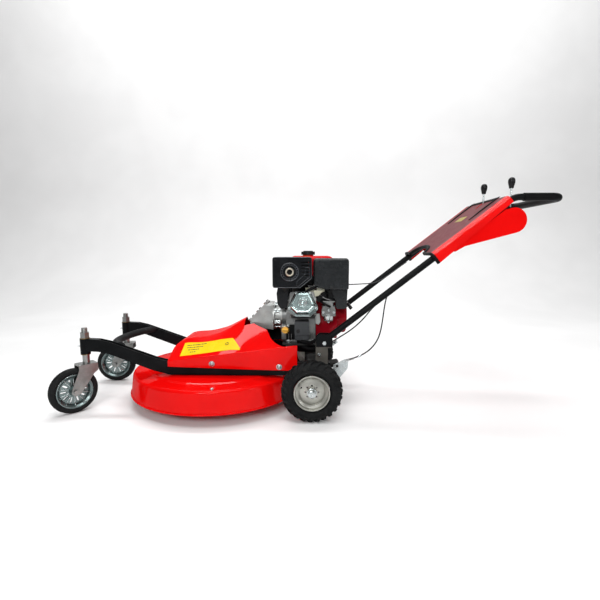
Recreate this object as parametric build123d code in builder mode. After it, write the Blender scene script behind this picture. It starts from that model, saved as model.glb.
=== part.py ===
from build123d import *
import os
from math import cos, sin, tan, radians, degrees, pi

# Walk-behind brush mower. X forward, Y to the machine's left, Z up, ground at Z = 0.
# Origin: on the ground under the middle of the machine's overall box.
os.makedirs("parts", exist_ok=True)

# ---------------------------------------------------------------- driving dimensions (mm)
AX = -54.385               # rear axle line, X
WHEEL_R = 130.0          # rear tyre radius
WHEEL_W = 76.0           # rear tyre width
WHEEL_Y = 318.0          # rear wheel mid-plane
CASTER_R = 100.0         # caster tyre radius
CASTER_W = 40.0
TRAIL = 60.0             # caster trail
POST_X = 1011.0          # king pin, ahead of the axle
POST_Y = 204.0
SWIVEL_L = 48.0          # degrees the left caster stands turned
SWIVEL_R = 7.0
SLEEVE_Z0, SLEEVE_Z1 = 255.0, 325.0
ARM_Y = 207.0            # frame arm centre
ARM_W = 30.0
ARM_T = 3.0
DECK_X = 459.0           # blade spindle, ahead of the axle
DECK_R = 408.0
SHEET = 2.0
CRANK_Z = 401.0
JACK_X = 235.0           # vertical jackshaft
BED_Z = 290.0
TUBE_R = 14.0
TUBE_Y = 208.0
SLOPE = 38.0             # handlebar slope, degrees
GRIP_Z = 935.0
GRIP_X = -1045.0
HB0 = (-71.0, 332.0)     # a point of the handlebar centre line (X, Z)
LEVER2_Y = 175.0         # second control lever
FIT = 0.05               # radial running clearance
GAP = 0.5                # clearance between parts that move past each other

ZV = (0, 0, 1)


def side(y):
    """Sketch plane at Y = y: local x is X from the axle, local y is Z, extrudes towards -Y."""
    return Plane(origin=(AX, y, 0), x_dir=(1, 0, 0), z_dir=(0, -1, 0))


def front(x):
    """Sketch plane across the machine at X = x from the axle: local x is Y, local y is Z."""
    return Plane(origin=(AX + x, 0, 0), x_dir=(0, 1, 0), z_dir=(1, 0, 0))


def flat(z):
    """Horizontal sketch plane at height z, local x from the axle."""
    return Plane(origin=(AX, 0, z), x_dir=(1, 0, 0), z_dir=(0, 0, 1))


def hb(s, n=0.0):
    """Point (X from axle, Z) at distance s up the handlebar line and n above it."""
    c, q = cos(radians(SLOPE)), sin(radians(SLOPE))
    return (HB0[0] - s * c + n * q, HB0[1] + s * q + n * c)


def save(builder, label):
    builder.part.label = label
    export_step(builder.part, "parts/" + label + ".step")


# ---------------------------------------------------------------- frame arms with king pin sleeves
ARM_TOP = [(1000, 325), (945, 323), (895, 312), (692, 240), (622, 224), (-80, 224)]
ARM_BOT = [(-80, 166), (628, 166), (700, 184), (898, 258), (945, 268), (1000, 270)]
ARM_R = [2, 60, 60, 90, 90, 2, 2, 90, 90, 60, 60, 2]
for sgn, label in ((1, "left_frame_arm"), (-1, "right_frame_arm")):
    with BuildPart() as arm:
        with BuildSketch(side(sgn * ARM_Y)) as so:
            with BuildLine():
                FilletPolyline(*(ARM_TOP + ARM_BOT), radius=ARM_R, close=True)
            make_face()
        extrude(amount=ARM_W / 2, both=True)
        with BuildSketch(side(sgn * ARM_Y)) as si:
            add(so.sketch)
            offset(amount=-ARM_T, mode=Mode.REPLACE)
            with Locations((-80, 195)):
                Rectangle(12, 58 - 2 * ARM_T)
        extrude(amount=ARM_W / 2 - ARM_T, both=True, mode=Mode.SUBTRACT)
        with BuildSketch(Plane(origin=(AX + POST_X, sgn * POST_Y, SLEEVE_Z0))) as sk:
            Circle(21)
        extrude(amount=SLEEVE_Z1 - SLEEVE_Z0)
        with BuildSketch(Plane(origin=(AX + POST_X, sgn * POST_Y, SLEEVE_Z0 - 1))) as sk:
            Circle(16)
        extrude(amount=SLEEVE_Z1 - SLEEVE_Z0 + 2, mode=Mode.SUBTRACT)
    save(arm, label)

# bronze bushes pressed in the sleeves, a flange below and above
with BuildPart() as bushes:
    for sgn in (1, -1):
        for z0, z1, zf in ((SLEEVE_Z0 - 3, SLEEVE_Z0 + 22, SLEEVE_Z0 - 3), (SLEEVE_Z1 - 22, SLEEVE_Z1 + 3, SLEEVE_Z1)):
            with BuildSketch(Plane(origin=(AX + POST_X, sgn * POST_Y, z0))):
                Circle(16)
                Circle(12 + FIT, mode=Mode.SUBTRACT)
            extrude(amount=z1 - z0)
            with BuildSketch(Plane(origin=(AX + POST_X, sgn * POST_Y, zf))):
                Circle(20)
                Circle(12 + FIT, mode=Mode.SUBTRACT)
            extrude(amount=3)
save(bushes, "kingpin_bushes")

# ---------------------------------------------------------------- front hoop between the arms
with BuildPart() as hoop:
    with BuildLine() as hl:
        ThreePointArc((AX + 850, 200, 290), (AX + 941, 0, 280), (AX + 850, -200, 290))
    with BuildSketch(Plane(origin=hl.line @ 0, z_dir=hl.line % 0)):
        Circle(17)
    sweep()
    split(bisect_by=Plane.XZ.offset(-(ARM_Y - ARM_W / 2)), keep=Keep.TOP)
    split(bisect_by=Plane.XZ.offset(ARM_Y - ARM_W / 2), keep=Keep.BOTTOM)
save(hoop, "front_hoop")

# ---------------------------------------------------------------- engine bed: two cross tubes and a plate on the arms
with BuildPart() as bed:
    for x in (-42, 96):
        with BuildSketch(side(0)):
            with Locations((x, 254)):
                Rectangle(40, 60)
        extrude(amount=222, both=True)
        with BuildSketch(side(0)):
            with Locations((x, 254)):
                Rectangle(34, 54)
        extrude(amount=223, both=True, mode=Mode.SUBTRACT)
    with BuildSketch(flat(284)):
        with Locations((27, 0)):
            RectangleRounded(214, 300, 12)
    extrude(amount=BED_Z - 284)
save(bed, "engine_bed")

# ---------------------------------------------------------------- handle posts on the arms' outer faces
with BuildPart() as posts:
    for sgn in (1, -1):
        with BuildSketch(side(sgn * 225.5)):
            with Locations((-43.5, 250)):
                RectangleRounded(53, 168, 5)
        extrude(amount=3.5, both=True)

with BuildPart() as hbr:
    for sgn in (1, -1):
        with BuildSketch(side(sgn * 231.5)):
            with BuildLine():
                Polyline((-19, 298), (-90, 298), (-90, 330), (-74, 352), (-34, 352), (-19, 338), close=True)
            make_face()
        extrude(amount=2.5, both=True)
        with BuildSketch(side(sgn * 191)):
            with BuildLine():
                Polyline((-19, 290), (-90, 290), (-90, 330), (-74, 352), (-34, 352), (-19, 338), close=True)
            make_face()
        extrude(amount=3, both=True)
        with BuildSketch(side(sgn * 208)):
            with Locations((-54, 292)):
                Rectangle(62, 4)
        extrude(amount=14, both=True)
with BuildPart() as hmounts:
    add(posts.part)
    add(hbr.part)
save(hmounts, "handle_mounts")

# ---------------------------------------------------------------- deck pan
with BuildPart() as deck:
    with BuildSketch(Plane(origin=(AX + DECK_X, 0, 0), x_dir=(1, 0, 0), z_dir=(0, -1, 0))):
        with BuildLine():
            FilletPolyline((45, 163), (318, 161), (328, 156), (396, 151), (DECK_R, 57), (DECK_R - 3, 57),
                           (393.2, 148), (327, 153), (317, 158), (45, 160),
                           radius=[0.2, 5, 5, 13, 0.2, 0.2, 10, 5, 5, 0.2], close=True)
        make_face()
        with Locations((DECK_R - 0.5, 57.5)):
            Circle(4.5)
    revolve(axis=Axis((AX + DECK_X, 0, 0), ZV))
    # discharge opening at the rear of the skirt
    with BuildSketch(flat(40)):
        with Locations((DECK_X - 400, 0)):
            Rectangle(220, 330)
    extrude(amount=98, mode=Mode.SUBTRACT)
save(deck, "deck_pan")

# small lug at the front of the deck
# ---------------------------------------------------------------- belt hood (folded sheet)
HY = 224.5
hood_sections = (
    (64.0, 187.0, 300.0, 0.020e3, 452.0),
    (300.0, 193.0, 271.0, 0.020e3, 398.0),
    (420.0, 197.0, 256.0, 0.074e3, 330.0),
    (500.0, 199.0, 246.5, 0.080e3, 308.0),
    (592.0, 202.0, 235.5, 0.080e3, 303.0),
)


def hood_loft(t):
    secs = []
    for x, zb, zc, yr, zr in hood_sections:
        with BuildSketch(front(x)) as s:
            with BuildLine():
                Polyline((-HY + t, zb - 1 + (0 if t == 0 else -30)), (HY - t, zb - 1 + (0 if t == 0 else -30)),
                         (HY - t, zc - 0.35 * t), (yr - 0.4 * t, zr - t), (-yr + 0.4 * t, zr - t), (-HY + t, zc - 0.35 * t), close=True)
            make_face()
        secs.append(s)
    return secs


with BuildPart() as hood:
    for s in hood_loft(0):
        add(s.sketch)
    loft(ruled=True)
    # nose: tapers down and forwards from the last section
    with BuildSketch(front(592)):
        with BuildLine():
            Polyline((-HY, 201), (HY, 201), (HY, 235.5), (80, 303), (-80, 303), (-HY, 235.5), close=True)
        make_face()
    with BuildSketch(front(637)):
        with BuildLine():
            Polyline((-HY, 202), (HY, 202), (HY, 231), (84, 292), (-84, 292), (-HY, 231), close=True)
        make_face()
    loft(ruled=True)
    # inside
    with BuildPart(mode=Mode.PRIVATE) as inner:
        for s in hood_loft(SHEET):
            add(s.sketch)
        loft(ruled=True)
        with BuildSketch(front(592)):
            with BuildLine():
                Polyline((-HY + SHEET, 171), (HY - SHEET, 171), (HY - SHEET, 234.8), (79.2, 301), (-79.2, 301), (-HY + SHEET, 234.8), close=True)
            make_face()
        with BuildSketch(front(635)):
            with BuildLine():
                Polyline((-HY + SHEET, 172), (HY - SHEET, 172), (HY - SHEET, 230.2), (83.2, 290.4), (-83.2, 290.4), (-HY + SHEET, 230.2), close=True)
            make_face()
        loft(ruled=True)
        with BuildSketch(front(50)):
            with BuildLine():
                Polyline((-HY + SHEET, 150), (HY - SHEET, 150), (HY - SHEET, 299.3), (19, 470), (-19, 470), (-HY + SHEET, 299.3), close=True)
            make_face()
        extrude(amount=20)
    add(inner.part, mode=Mode.SUBTRACT)
    # rear opening around the gear case and the engine
    with BuildSketch(side(0)):
        with BuildLine():
            c1 = Polyline((40, 480), (322, 480), (314, 393), (262, 366), (206, 350), (192, 332))
            c2 = Spline((192, 332), (176, 303), (150, 284), (128, 279), tangents=((-0.45, -0.9), (-1, -0.05)))
            c3 = Polyline((128, 279), (90, 277), (60, 277.5), (40, 277.5), (40, 480))
        make_face()
    extrude(amount=HY - SHEET - 0.5, both=True, mode=Mode.SUBTRACT)
    # notch round the gear case
    with BuildSketch(flat(345)):
        with Locations((250, 0)):
            Rectangle(136, 144)
    extrude(amount=80, mode=Mode.SUBTRACT)
    # the frame arms leave through the nose
    with BuildSketch(flat(190)):
        for sgn in (1, -1):
            with Locations((632, sgn * 206.3)):
                Rectangle(40, 32.2)
    extrude(amount=38.6, mode=Mode.SUBTRACT)
save(hood, "hood")

# ---------------------------------------------------------------- spindle housing under the hood
with BuildPart() as sph:
    with BuildSketch(Plane(origin=(AX + DECK_X, 0, 163.0))):
        Circle(75)
    extrude(amount=9)
    with BuildSketch(Plane(origin=(AX + DECK_X, 0, 112))):
        Circle(36)
    extrude(amount=100)
    with BuildSketch(Plane(origin=(AX + DECK_X, 0, 105))):
        Circle(15 + FIT)
    extrude(amount=120, mode=Mode.SUBTRACT)
save(sph, "spindle_housing")

BELT_Z = 238.0
with BuildPart() as spindle:
    with BuildSketch(Plane(origin=(AX + DECK_X, 0, 74))):
        Circle(15)
    extrude(amount=184)
    with BuildSketch(Plane(origin=(AX + DECK_X, 0, 102))):
        Circle(26)
    extrude(amount=9.4)
    # head that holds the carrier
    with BuildSketch(Plane(origin=(AX + DECK_X, 0, 68))):
        RegularPolygon(24, 6)
    extrude(amount=21.9)
    # V pulley
    with BuildSketch(Plane(origin=(AX + DECK_X, 0, 0), x_dir=(1, 0, 0), z_dir=(0, -1, 0))):
        with BuildLine():
            Polyline((14, BELT_Z - 14), (84, BELT_Z - 14), (84, BELT_Z - 8.5), (70, BELT_Z - 4), (70, BELT_Z + 4),
                     (84, BELT_Z + 8.5), (84, BELT_Z + 14), (14, BELT_Z + 14), close=True)
        make_face()
    revolve(axis=Axis((AX + DECK_X, 0, 0), ZV))
    with BuildSketch(Plane(origin=(AX + DECK_X, 0, BELT_Z - 20))):
        with PolarLocations(48, 5):
            Circle(14)
    extrude(amount=40, mode=Mode.SUBTRACT)
save(spindle, "blade_spindle")

BLADE_PIN_R = 125.0
with BuildPart() as carrier:
    with BuildSketch(Plane(origin=(AX + DECK_X, 0, 90))):
        with BuildLine():
            Polyline((-160, -38), (160, -38), (160, 38), (-160, 38), close=True)
        make_face()
        Circle(70)
    extrude(amount=12)
    with BuildSketch(Plane(origin=(AX + DECK_X, 0, 80))):
        Circle(15)
    extrude(amount=30, mode=Mode.SUBTRACT)
    for sx in (1, -1):
        with BuildSketch(Plane(origin=(AX + DECK_X + sx * BLADE_PIN_R, 0, 76))):
            Circle(10)
        extrude(amount=14)
        with BuildSketch(Plane(origin=(AX + DECK_X + sx * BLADE_PIN_R, 0, 72))):
            Circle(17)
        extrude(amount=5)
save(carrier, "blade_carrier")

for sx, label in ((1, "front_swing_blade"), (-1, "rear_swing_blade")):
    with BuildPart() as blade:
        with BuildSketch(Plane(origin=(AX + DECK_X + sx * BLADE_PIN_R, 0, 79))):
            with BuildLine():
                Polyline((-sx * 24, -25), (sx * 235, -25), (sx * 250, 10), (sx * 250, 25), (-sx * 24, 25), close=True)
            make_face()
            Circle(10.5, mode=Mode.SUBTRACT)
        extrude(amount=8)
        chamfer(blade.edges().filter_by(Axis.X).group_by(Axis.Z)[0].sort_by(Axis.Y)[0], 5)
    save(blade, label)

# ---------------------------------------------------------------- jackshaft with crown gear and drive pulley
def bevel_gear(plane, r_big, face_w, teeth, phase, hub_r, hub_l):
    k = (r_big - face_w) / r_big
    with BuildPart() as g:
        with BuildSketch(plane.offset(-r_big)):
            Circle(r_big - 3.6)
        with BuildSketch(plane.offset(-r_big * k)):
            Circle((r_big - 3.6) * k)
        loft(ruled=True)
        w0, w1 = 2 * pi * r_big / teeth * 0.29, 2 * pi * r_big / teeth * 0.13
        with BuildPart(mode=Mode.PRIVATE) as tooth:
            for f in (1.0, k):
                with BuildSketch(plane.offset(-r_big * f)):
                    with BuildLine():
                        Polyline(((r_big - 4.4) * f, -w0 * f), ((r_big + 1.6) * f, -w1 * f),
                                 ((r_big + 1.6) * f, w1 * f), ((r_big - 4.4) * f, w0 * f), close=True)
                    make_face()
            loft(ruled=True)
        for i in range(teeth):
            add(tooth.part.rotate(Axis(plane.origin, plane.z_dir), phase + 360.0 / teeth * i))
        with BuildSketch(plane.offset(-r_big - hub_l)):
            Circle(hub_r)
        extrude(amount=hub_l)
    return g


TEETH = 18
jack_plane = Plane(origin=(AX + JACK_X, 0, CRANK_Z), x_dir=(1, 0, 0), z_dir=(0, 0, 1))
crank_plane = Plane(origin=(AX + JACK_X, 0, CRANK_Z), x_dir=(0, 1, 0), z_dir=(1, 0, 0))
crown = bevel_gear(jack_plane, 30, 12, TEETH, 0.0, 18, 8)
# the mating flank line is at -X of the crown and at -Z of the pinion
with BuildPart() as jack:
    add(crown.part)
    with BuildSketch(flat(216)):
        with Locations((JACK_X, 0)):
            Circle(12.5)
    extrude(amount=150)
    with BuildSketch(Plane(origin=(AX + JACK_X, 0, 0), x_dir=(1, 0, 0), z_dir=(0, -1, 0))):
        with BuildLine():
            Polyline((12, BELT_Z - 14), (64, BELT_Z - 14), (64, BELT_Z - 8.5), (50, BELT_Z - 4), (50, BELT_Z + 4),
                     (64, BELT_Z + 8.5), (64, BELT_Z + 14), (12, BELT_Z + 14), close=True)
        make_face()
    revolve(axis=Axis((AX + JACK_X, 0, 0), ZV))
save(jack, "jackshaft")

# crankshaft along X with the bevel pinion on its front end
pinion = bevel_gear(crank_plane, 30, 12, TEETH, 180.0 / TEETH - 90.0, 18, 8)
with BuildPart() as crank:
    add(pinion.part)
    with BuildSketch(front(-128)):
        with Locations((0, CRANK_Z)):
            Circle(12.5)
    extrude(amount=JACK_X - 30 - 6 + 128)
save(crank, "crankshaft")

with BuildPart() as flywheel:
    with BuildSketch(front(-110)):
        with Locations((0, CRANK_Z)):
            Circle(92)
            Circle(12.5, mode=Mode.SUBTRACT)
    extrude(amount=26)
    for a in range(12):
        with BuildSketch(front(-84)):
            with Locations(Location((0, CRANK_Z)) * Location((0, 0, 0), (0, 0, 30.0 * a)) * Location((72, 0, 0))):
                Rectangle(34, 4)
        extrude(amount=22)
save(flywheel, "flywheel")

# ---------------------------------------------------------------- blade belt round the two pulleys
with BuildPart() as belt:
    def belt_loop(rj, rs):
        with BuildSketch(flat(0)) as s:
            with Locations((JACK_X, 0)):
                Circle(rj)
            with Locations((DECK_X, 0)):
                Circle(rs)
            make_hull()
        return s
    for z0, z1, oj, os_, ij, is_ in ((BELT_Z - 5, BELT_Z + 5, 62, 82, 53.5, 73.5),):
        with BuildSketch(flat(z0)):
            with Locations((JACK_X, 0)):
                Circle(oj)
            with Locations((DECK_X, 0)):
                Circle(os_)
            make_hull()
        extrude(amount=z1 - z0)
        with BuildSketch(flat(z0)):
            with Locations((JACK_X, 0)):
                Circle(ij)
            with Locations((DECK_X, 0)):
                Circle(is_)
            make_hull()
        extrude(amount=z1 - z0, mode=Mode.SUBTRACT)
save(belt, "blade_belt")

# ---------------------------------------------------------------- gear case: adapter, flange and wedge
CASE = [(182, 338), (182, 464), (208, 464), (292, 374), (292, 366), (276, 352)]
CASE_IN = [(190, 348), (190, 456), (204, 456), (300, 353), (300, 340), (272, 357)]
with BuildPart() as case:
    with BuildSketch(side(0)):
        with BuildLine():
            Polyline(*CASE, close=True)
        make_face()
    extrude(amount=58, both=True)
    fillet(case.edges().filter_by(Axis.X), 10)
    with BuildSketch(front(140)):
        with Locations((0, CRANK_Z)):
            Circle(50)
    extrude(amount=44)
    for x, r, t in ((140, 64, 8), (176, 67, 8)):
        with BuildSketch(front(x)):
            with Locations((0, CRANK_Z)):
                Circle(r)
        extrude(amount=t)
    # cavity, open at the inclined face
    with BuildSketch(side(0)):
        with BuildLine():
            Polyline((192, 360), (192, 456), (212, 470), (310, 366), (296, 360), close=True)
        make_face()
    extrude(amount=48, both=True, mode=Mode.SUBTRACT)
    with BuildSketch(front(130)):
        with Locations((0, CRANK_Z)):
            Circle(12.5 + FIT)
    extrude(amount=70, mode=Mode.SUBTRACT)
    with BuildSketch(front(184)):
        with Locations((0, CRANK_Z)):
            Circle(36)
    extrude(amount=12, mode=Mode.SUBTRACT)
    with BuildSketch(flat(330)):
        with Locations((JACK_X, 0)):
            Circle(12.5 + FIT)
    extrude(amount=40, mode=Mode.SUBTRACT)
save(case, "gear_case")

ci = radians(-47.0)
cx, cz = (208 + 292) / 2, (464 + 374) / 2
cover_plane = Plane(origin=(AX + cx, 0, cz), x_dir=(0, 1, 0), z_dir=(90 / 123.1, 0, 84 / 123.1))
with BuildPart() as gcover:
    with BuildSketch(cover_plane):
        RectangleRounded(118, 124, 9)
    extrude(amount=8)
    with BuildSketch(cover_plane.offset(8)):
        with GridLocations(98, 104, 2, 2):
            RegularPolygon(7, 6)
        with GridLocations(98, 0.0001, 2, 1):
            RegularPolygon(7, 6)
    extrude(amount=6)
save(gcover, "gear_case_cover")

with BuildPart() as studs:
    with BuildSketch(front(152)):
        with Locations((0, CRANK_Z)):
            with PolarLocations(59, 6, start_angle=30):
                Circle(4)
    extrude(amount=24)
    with BuildSketch(front(168)):
        with Locations((0, CRANK_Z)):
            with PolarLocations(59, 6, start_angle=30):
                RegularPolygon(8, 6)
    extrude(amount=7.9)
    with BuildSketch(front(148.05)):
        with Locations((0, CRANK_Z)):
            with PolarLocations(59, 6, start_angle=30):
                RegularPolygon(8, 6)
    extrude(amount=8)

# ---------------------------------------------------------------- engine
CT = radians(25.0)        # cylinder axis above horizontal, towards +Y


def cyl(d):
    """Plane across the cylinder at distance d from the crank: local x is -X, local y is up the head."""
    return Plane(origin=(AX + 40, d * cos(CT), CRANK_Z + d * sin(CT)), x_dir=(-1, 0, 0), z_dir=(0, cos(CT), sin(CT)))


with BuildPart() as ccase:
    with BuildSketch(front(-18)):
        with BuildLine():
            FilletPolyline((-118, 290), (118, 290), (118, 302), (106, 302), (106, 430), (70, 500), (-60, 500), (-108, 440), (-108, 302), (-118, 302),
                           radius=[1, 1, 3, 2, 25, 30, 30, 2, 3, 1], close=True)
        make_face()
    extrude(amount=136)
    with BuildSketch(front(118)):
        with BuildLine():
            FilletPolyline((-70, 290), (106, 290), (106, 372), (-70, 372), radius=[1, 14, 14, 1], close=True)
        make_face()
    extrude(amount=21.8)
    with BuildSketch(front(118)):
        with Locations((0, CRANK_Z)):
            Circle(62)
    extrude(amount=22)
    # oil filler neck
    with BuildSketch(Plane(origin=(AX + 122, 105, 345), x_dir=(1, 0, 0), z_dir=(0, 1, 0.25))):
        Circle(13)
    extrude(amount=14)
    with BuildSketch(front(-20)):
        with Locations((0, CRANK_Z)):
            Circle(12.5 + FIT)
    extrude(amount=180, mode=Mode.SUBTRACT)
save(ccase, "crankcase")

with BuildPart() as head:
    with BuildSketch(cyl(124)):
        RectangleRounded(118, 104, 10)
    extrude(amount=68)
    for i in range(5):
        with BuildSketch(cyl(131 + i * 11)):
            Rectangle(140, 120)
            RectangleRounded(92, 78, 8, mode=Mode.SUBTRACT)
        extrude(amount=5, mode=Mode.SUBTRACT)
save(head, "cylinder_head")

VC = [(-66, -20), (-66, -32), (-33, -64), (33, -64), (66, -32), (66, -20), (33, 52), (-33, 52)]
with BuildPart() as vcover:
    with BuildSketch(cyl(192)):
        with BuildLine():
            FilletPolyline(*VC, radius=8, close=True)
        make_face()
    extrude(amount=8)
    with BuildSketch(cyl(200)):
        with BuildLine():
            FilletPolyline(*[(x * 0.86, y * 0.86 - 0.8) for x, y in VC], radius=8, close=True)
        make_face()
    extrude(amount=24, taper=12)
    with BuildSketch(cyl(224)):
        with Locations((0, -6)):
            Circle(20)
            Circle(15, mode=Mode.SUBTRACT)
    extrude(amount=2)
save(vcover, "valve_cover")

# muffler in its guard
with BuildPart() as muffler:
    with BuildSketch(side(190)):
        with BuildLine():
            FilletPolyline((52, 566), (150, 566), (150, 668), (14, 668), (14, 598), radius=12, close=True)
        make_face()
    extrude(amount=122)
    with BuildSketch(side(210)):
        with Locations((97, 621)):
            Circle(18)
            Circle(11, mode=Mode.SUBTRACT)
    extrude(amount=20)
    # exhaust elbow down to the head
    with BuildSketch(flat(519)):
        with Locations((72, 110)):
            Circle(16)
    extrude(amount=52)
save(muffler, "muffler")

GUARD = [(2, 594), (2, 684), (170, 684), (170, 553), (52, 553)]
with BuildPart() as guard:
    with BuildSketch(side(204)):
        with BuildLine():
            FilletPolyline(*GUARD, radius=9, close=True)
        make_face()
    extrude(amount=146)
    with BuildSketch(side(201)):
        with BuildLine():
            FilletPolyline(*[(x + dx, z + dz) for (x, z), (dx, dz) in zip(GUARD, ((3, 1.5), (3, -3), (-3, -3), (-3, 3), (-1.5, 3)))], radius=7, close=True)
        make_face()
    extrude(amount=160, mode=Mode.SUBTRACT)
    with BuildSketch(side(206)):
        with Locations((97, 621)):
            Circle(23)
    extrude(amount=10, mode=Mode.SUBTRACT)
    # clearance for the elbow is the open lower edge
    with BuildSketch(flat(540)):
        with Locations((72, 110)):
            Rectangle(44, 44)
    extrude(amount=20, mode=Mode.SUBTRACT)
    for k in range(5):
        with BuildSketch(side(210)):
            with Locations((30, 606 + k * 14)):
                SlotOverall(34, 6)
        extrude(amount=10, mode=Mode.SUBTRACT)
save(guard, "muffler_guard")

with BuildPart() as aircl:
    with BuildSketch(side(176)):
        with BuildLine():
            FilletPolyline((-8, 560), (-8, 678), (-163, 678), (-163, 541), (-60, 541), radius=[5, 14, 18, 8, 24], close=True)
        make_face()
    extrude(amount=132)
    fillet(aircl.faces().sort_by(Axis.Y)[-1].edges(), 8)
    # intake elbow moulded under it
    with BuildSketch(side(150)):
        with BuildLine():
            FilletPolyline((-84, 543), (-160, 543), (-156, 452), (-109.5, 452), (-109, 484), radius=[2, 2, 10, 8, 14], close=True)
        make_face()
    extrude(amount=44)
save(aircl, "air_cleaner")

with BuildPart() as carb:
    with BuildSketch(side(150)):
        with Locations((-76, 436)):
            RectangleRounded(62, 34, 5)
    extrude(amount=44)
    with BuildSketch(Plane(origin=(AX - 76, 128, 396))):
        Circle(21)
    extrude(amount=30)
    with BuildSketch(Plane(origin=(AX - 76, 128, 390))):
        Circle(6)
    extrude(amount=8)
    with BuildSketch(side(150)):
        with Locations((-76, 457)):
            Rectangle(56, 8)
    extrude(amount=40)
save(carb, "carburettor")

# fuel tank with a filler neck
TANK_CX, TANK_CY = 0.0, -70.0
with BuildPart() as tank:
    with BuildSketch(flat(560)):
        with Locations((TANK_CX, TANK_CY)):
            RectangleRounded(214, 214, 30)
    extrude(amount=126, taper=1.5)
    fillet(tank.faces().sort_by(Axis.Z)[-1].edges(), 22)
    with BuildSketch(flat(680)):
        with Locations((17, -50)):
            Circle(26)
    extrude(amount=12)
save(tank, "fuel_tank")

with BuildPart() as fcap:
    with BuildSketch(flat(692.5)):
        with Locations((17, -50)):
            Circle(34)
            with PolarLocations(34, 10):
                Circle(3.4, mode=Mode.SUBTRACT)
    extrude(amount=15)
    with BuildSketch(flat(707.5)):
        with Locations((17, -50)):
            Circle(24)
    extrude(amount=4)
save(fcap, "fuel_cap")

# fan shroud (red) round the flywheel and the recoil housing behind it
with BuildPart() as shroud:
    with BuildSketch(front(-118)):
        with BuildLine():
            FilletPolyline((-118, 300), (102, 300), (103, 420), (92, 520), (-104, 520), (-124, 420), radius=[40, 40, 30, 30, 30, 30], close=True)
        make_face()
    extrude(amount=98)
    with BuildSketch(front(-114)):
        with Locations((0, CRANK_Z)):
            Circle(98)
    extrude(amount=96, mode=Mode.SUBTRACT)
    with BuildSketch(front(-130)):
        with Locations((0, CRANK_Z)):
            Circle(70)
    extrude(amount=40, mode=Mode.SUBTRACT)
save(shroud, "fan_shroud")

with BuildPart() as recoil:
    with BuildSketch(front(-166)):
        with Locations((0, CRANK_Z)):
            Circle(84)
    extrude(amount=47.9)
    fillet(recoil.edges().sort_by(Axis.X)[0], 14)
    with BuildSketch(front(-160)):
        with Locations((0, CRANK_Z)):
            Circle(70)
    extrude(amount=60, mode=Mode.SUBTRACT)
    # rope guide on the upper left
    with BuildSketch(side(-20)):
        with Locations((-146, 462)):
            RectangleRounded(34, 44, 6)
    extrude(amount=40)
    with BuildSketch(front(-130)):
        with Locations((0, CRANK_Z)):
            Circle(70)
    extrude(amount=12.1, mode=Mode.SUBTRACT)
save(recoil, "recoil_housing")

with BuildPart() as rgrip:
    rg = Plane(origin=(AX - 176, -40, 456), x_dir=(0, 1, 0), z_dir=(-0.6, 0, -0.8))
    with BuildSketch(rg):
        RectangleRounded(26, 13, 6)
    extrude(amount=16)
    with BuildSketch(rg.offset(16)):
        RectangleRounded(80, 17, 8)
    extrude(amount=16)
save(rgrip, "recoil_handle")

with BuildPart() as ocap:
    op = Plane(origin=(AX + 122, 105, 345), x_dir=(1, 0, 0), z_dir=(0, 1, 0.25))
    with BuildSketch(op.offset(14.4)):
        Circle(15)
    extrude(amount=7)
    with BuildSketch(op.offset(21.4)):
        RectangleRounded(28, 7, 3)
    extrude(amount=13)
save(ocap, "oil_cap")

with BuildPart() as oilbox:
    with BuildSketch(side(149)):
        with Locations((45, 363)):
            RectangleRounded(66, 62, 4)
    extrude(amount=42.9)
    with BuildSketch(side(142)):
        with Locations((45, 318)):
            Rectangle(64, 24)
    extrude(amount=35.9)
save(oilbox, "oil_alert_box")

with BuildPart() as swk:
    with BuildSketch(side(157)):
        with Locations((62, 350)):
            Circle(8)
            Rectangle(6, 15)
    extrude(amount=7.5)
save(swk, "engine_switch")

# governor / throttle lever under the air cleaner
with BuildPart() as gov:
    with BuildSketch(side(166)):
        with BuildLine():
            Polyline((-8, 537), (-14, 510), (-30, 513), (-50, 537), close=True)
        make_face()
    extrude(amount=3)
    with BuildSketch(side(163)):
        with Locations((-24, 526)):
            Circle(6)
    extrude(amount=14)
save(gov, "throttle_lever")

# spark plug cap beside the valve cover, with its lead to the coil on the shroud
with BuildPart() as spark:
    with BuildLine() as sl:
        FilletPolyline((AX - 34, 180, 503), (AX - 52, 176, 521), (AX - 66, 152, 525), (AX - 73, 124, 515), (AX - 74, 98, 500), radius=[12, 20, 24])
    with BuildSketch(Plane(origin=sl.line @ 0, z_dir=sl.line % 0)):
        Circle(4)
    sweep()
    with BuildSketch(Plane(origin=sl.line @ 0, z_dir=sl.line % 0).offset(-14)):
        Circle(9)
    extrude(amount=24)
save(spark, "spark_plug_cap")

# ---------------------------------------------------------------- transaxle and rear wheels
with BuildPart() as trans:
    with BuildSketch(side(0)):
        with BuildLine():
            FilletPolyline((-78, 84), (34, 84), (34, 190), (-78, 190), radius=18, close=True)
        make_face()
    extrude(amount=62, both=True)
    with BuildSketch(side(0)):
        with Locations((0, WHEEL_R)):
            Circle(26)
    extrude(amount=262, both=True)
    for sgn in (1, -1):
        with BuildSketch(side(sgn * ARM_Y)):
            with BuildLine():
                Polyline((-34, 166), (-34, 128), (-20, 112), (20, 112), (34, 128), (34, 166), close=True)
            make_face()
        extrude(amount=6, both=True)
    # arm that carries the clutch plate's pivot
    with BuildSketch(side(120)):
        with BuildLine():
            FilletPolyline((-60, 170), (-60, 186), (-122, 196), (-130, 186), (-122, 174), radius=4, close=True)
        make_face()
    extrude(amount=70)
    with BuildSketch(side(140)):
        with Locations((-118, 185)):
            Circle(6)
    extrude(amount=22)
    with BuildSketch(side(0)):
        with Locations((0, WHEEL_R)):
            Circle(15 + FIT)
    extrude(amount=300, both=True, mode=Mode.SUBTRACT)
save(trans, "transaxle_case")

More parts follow.
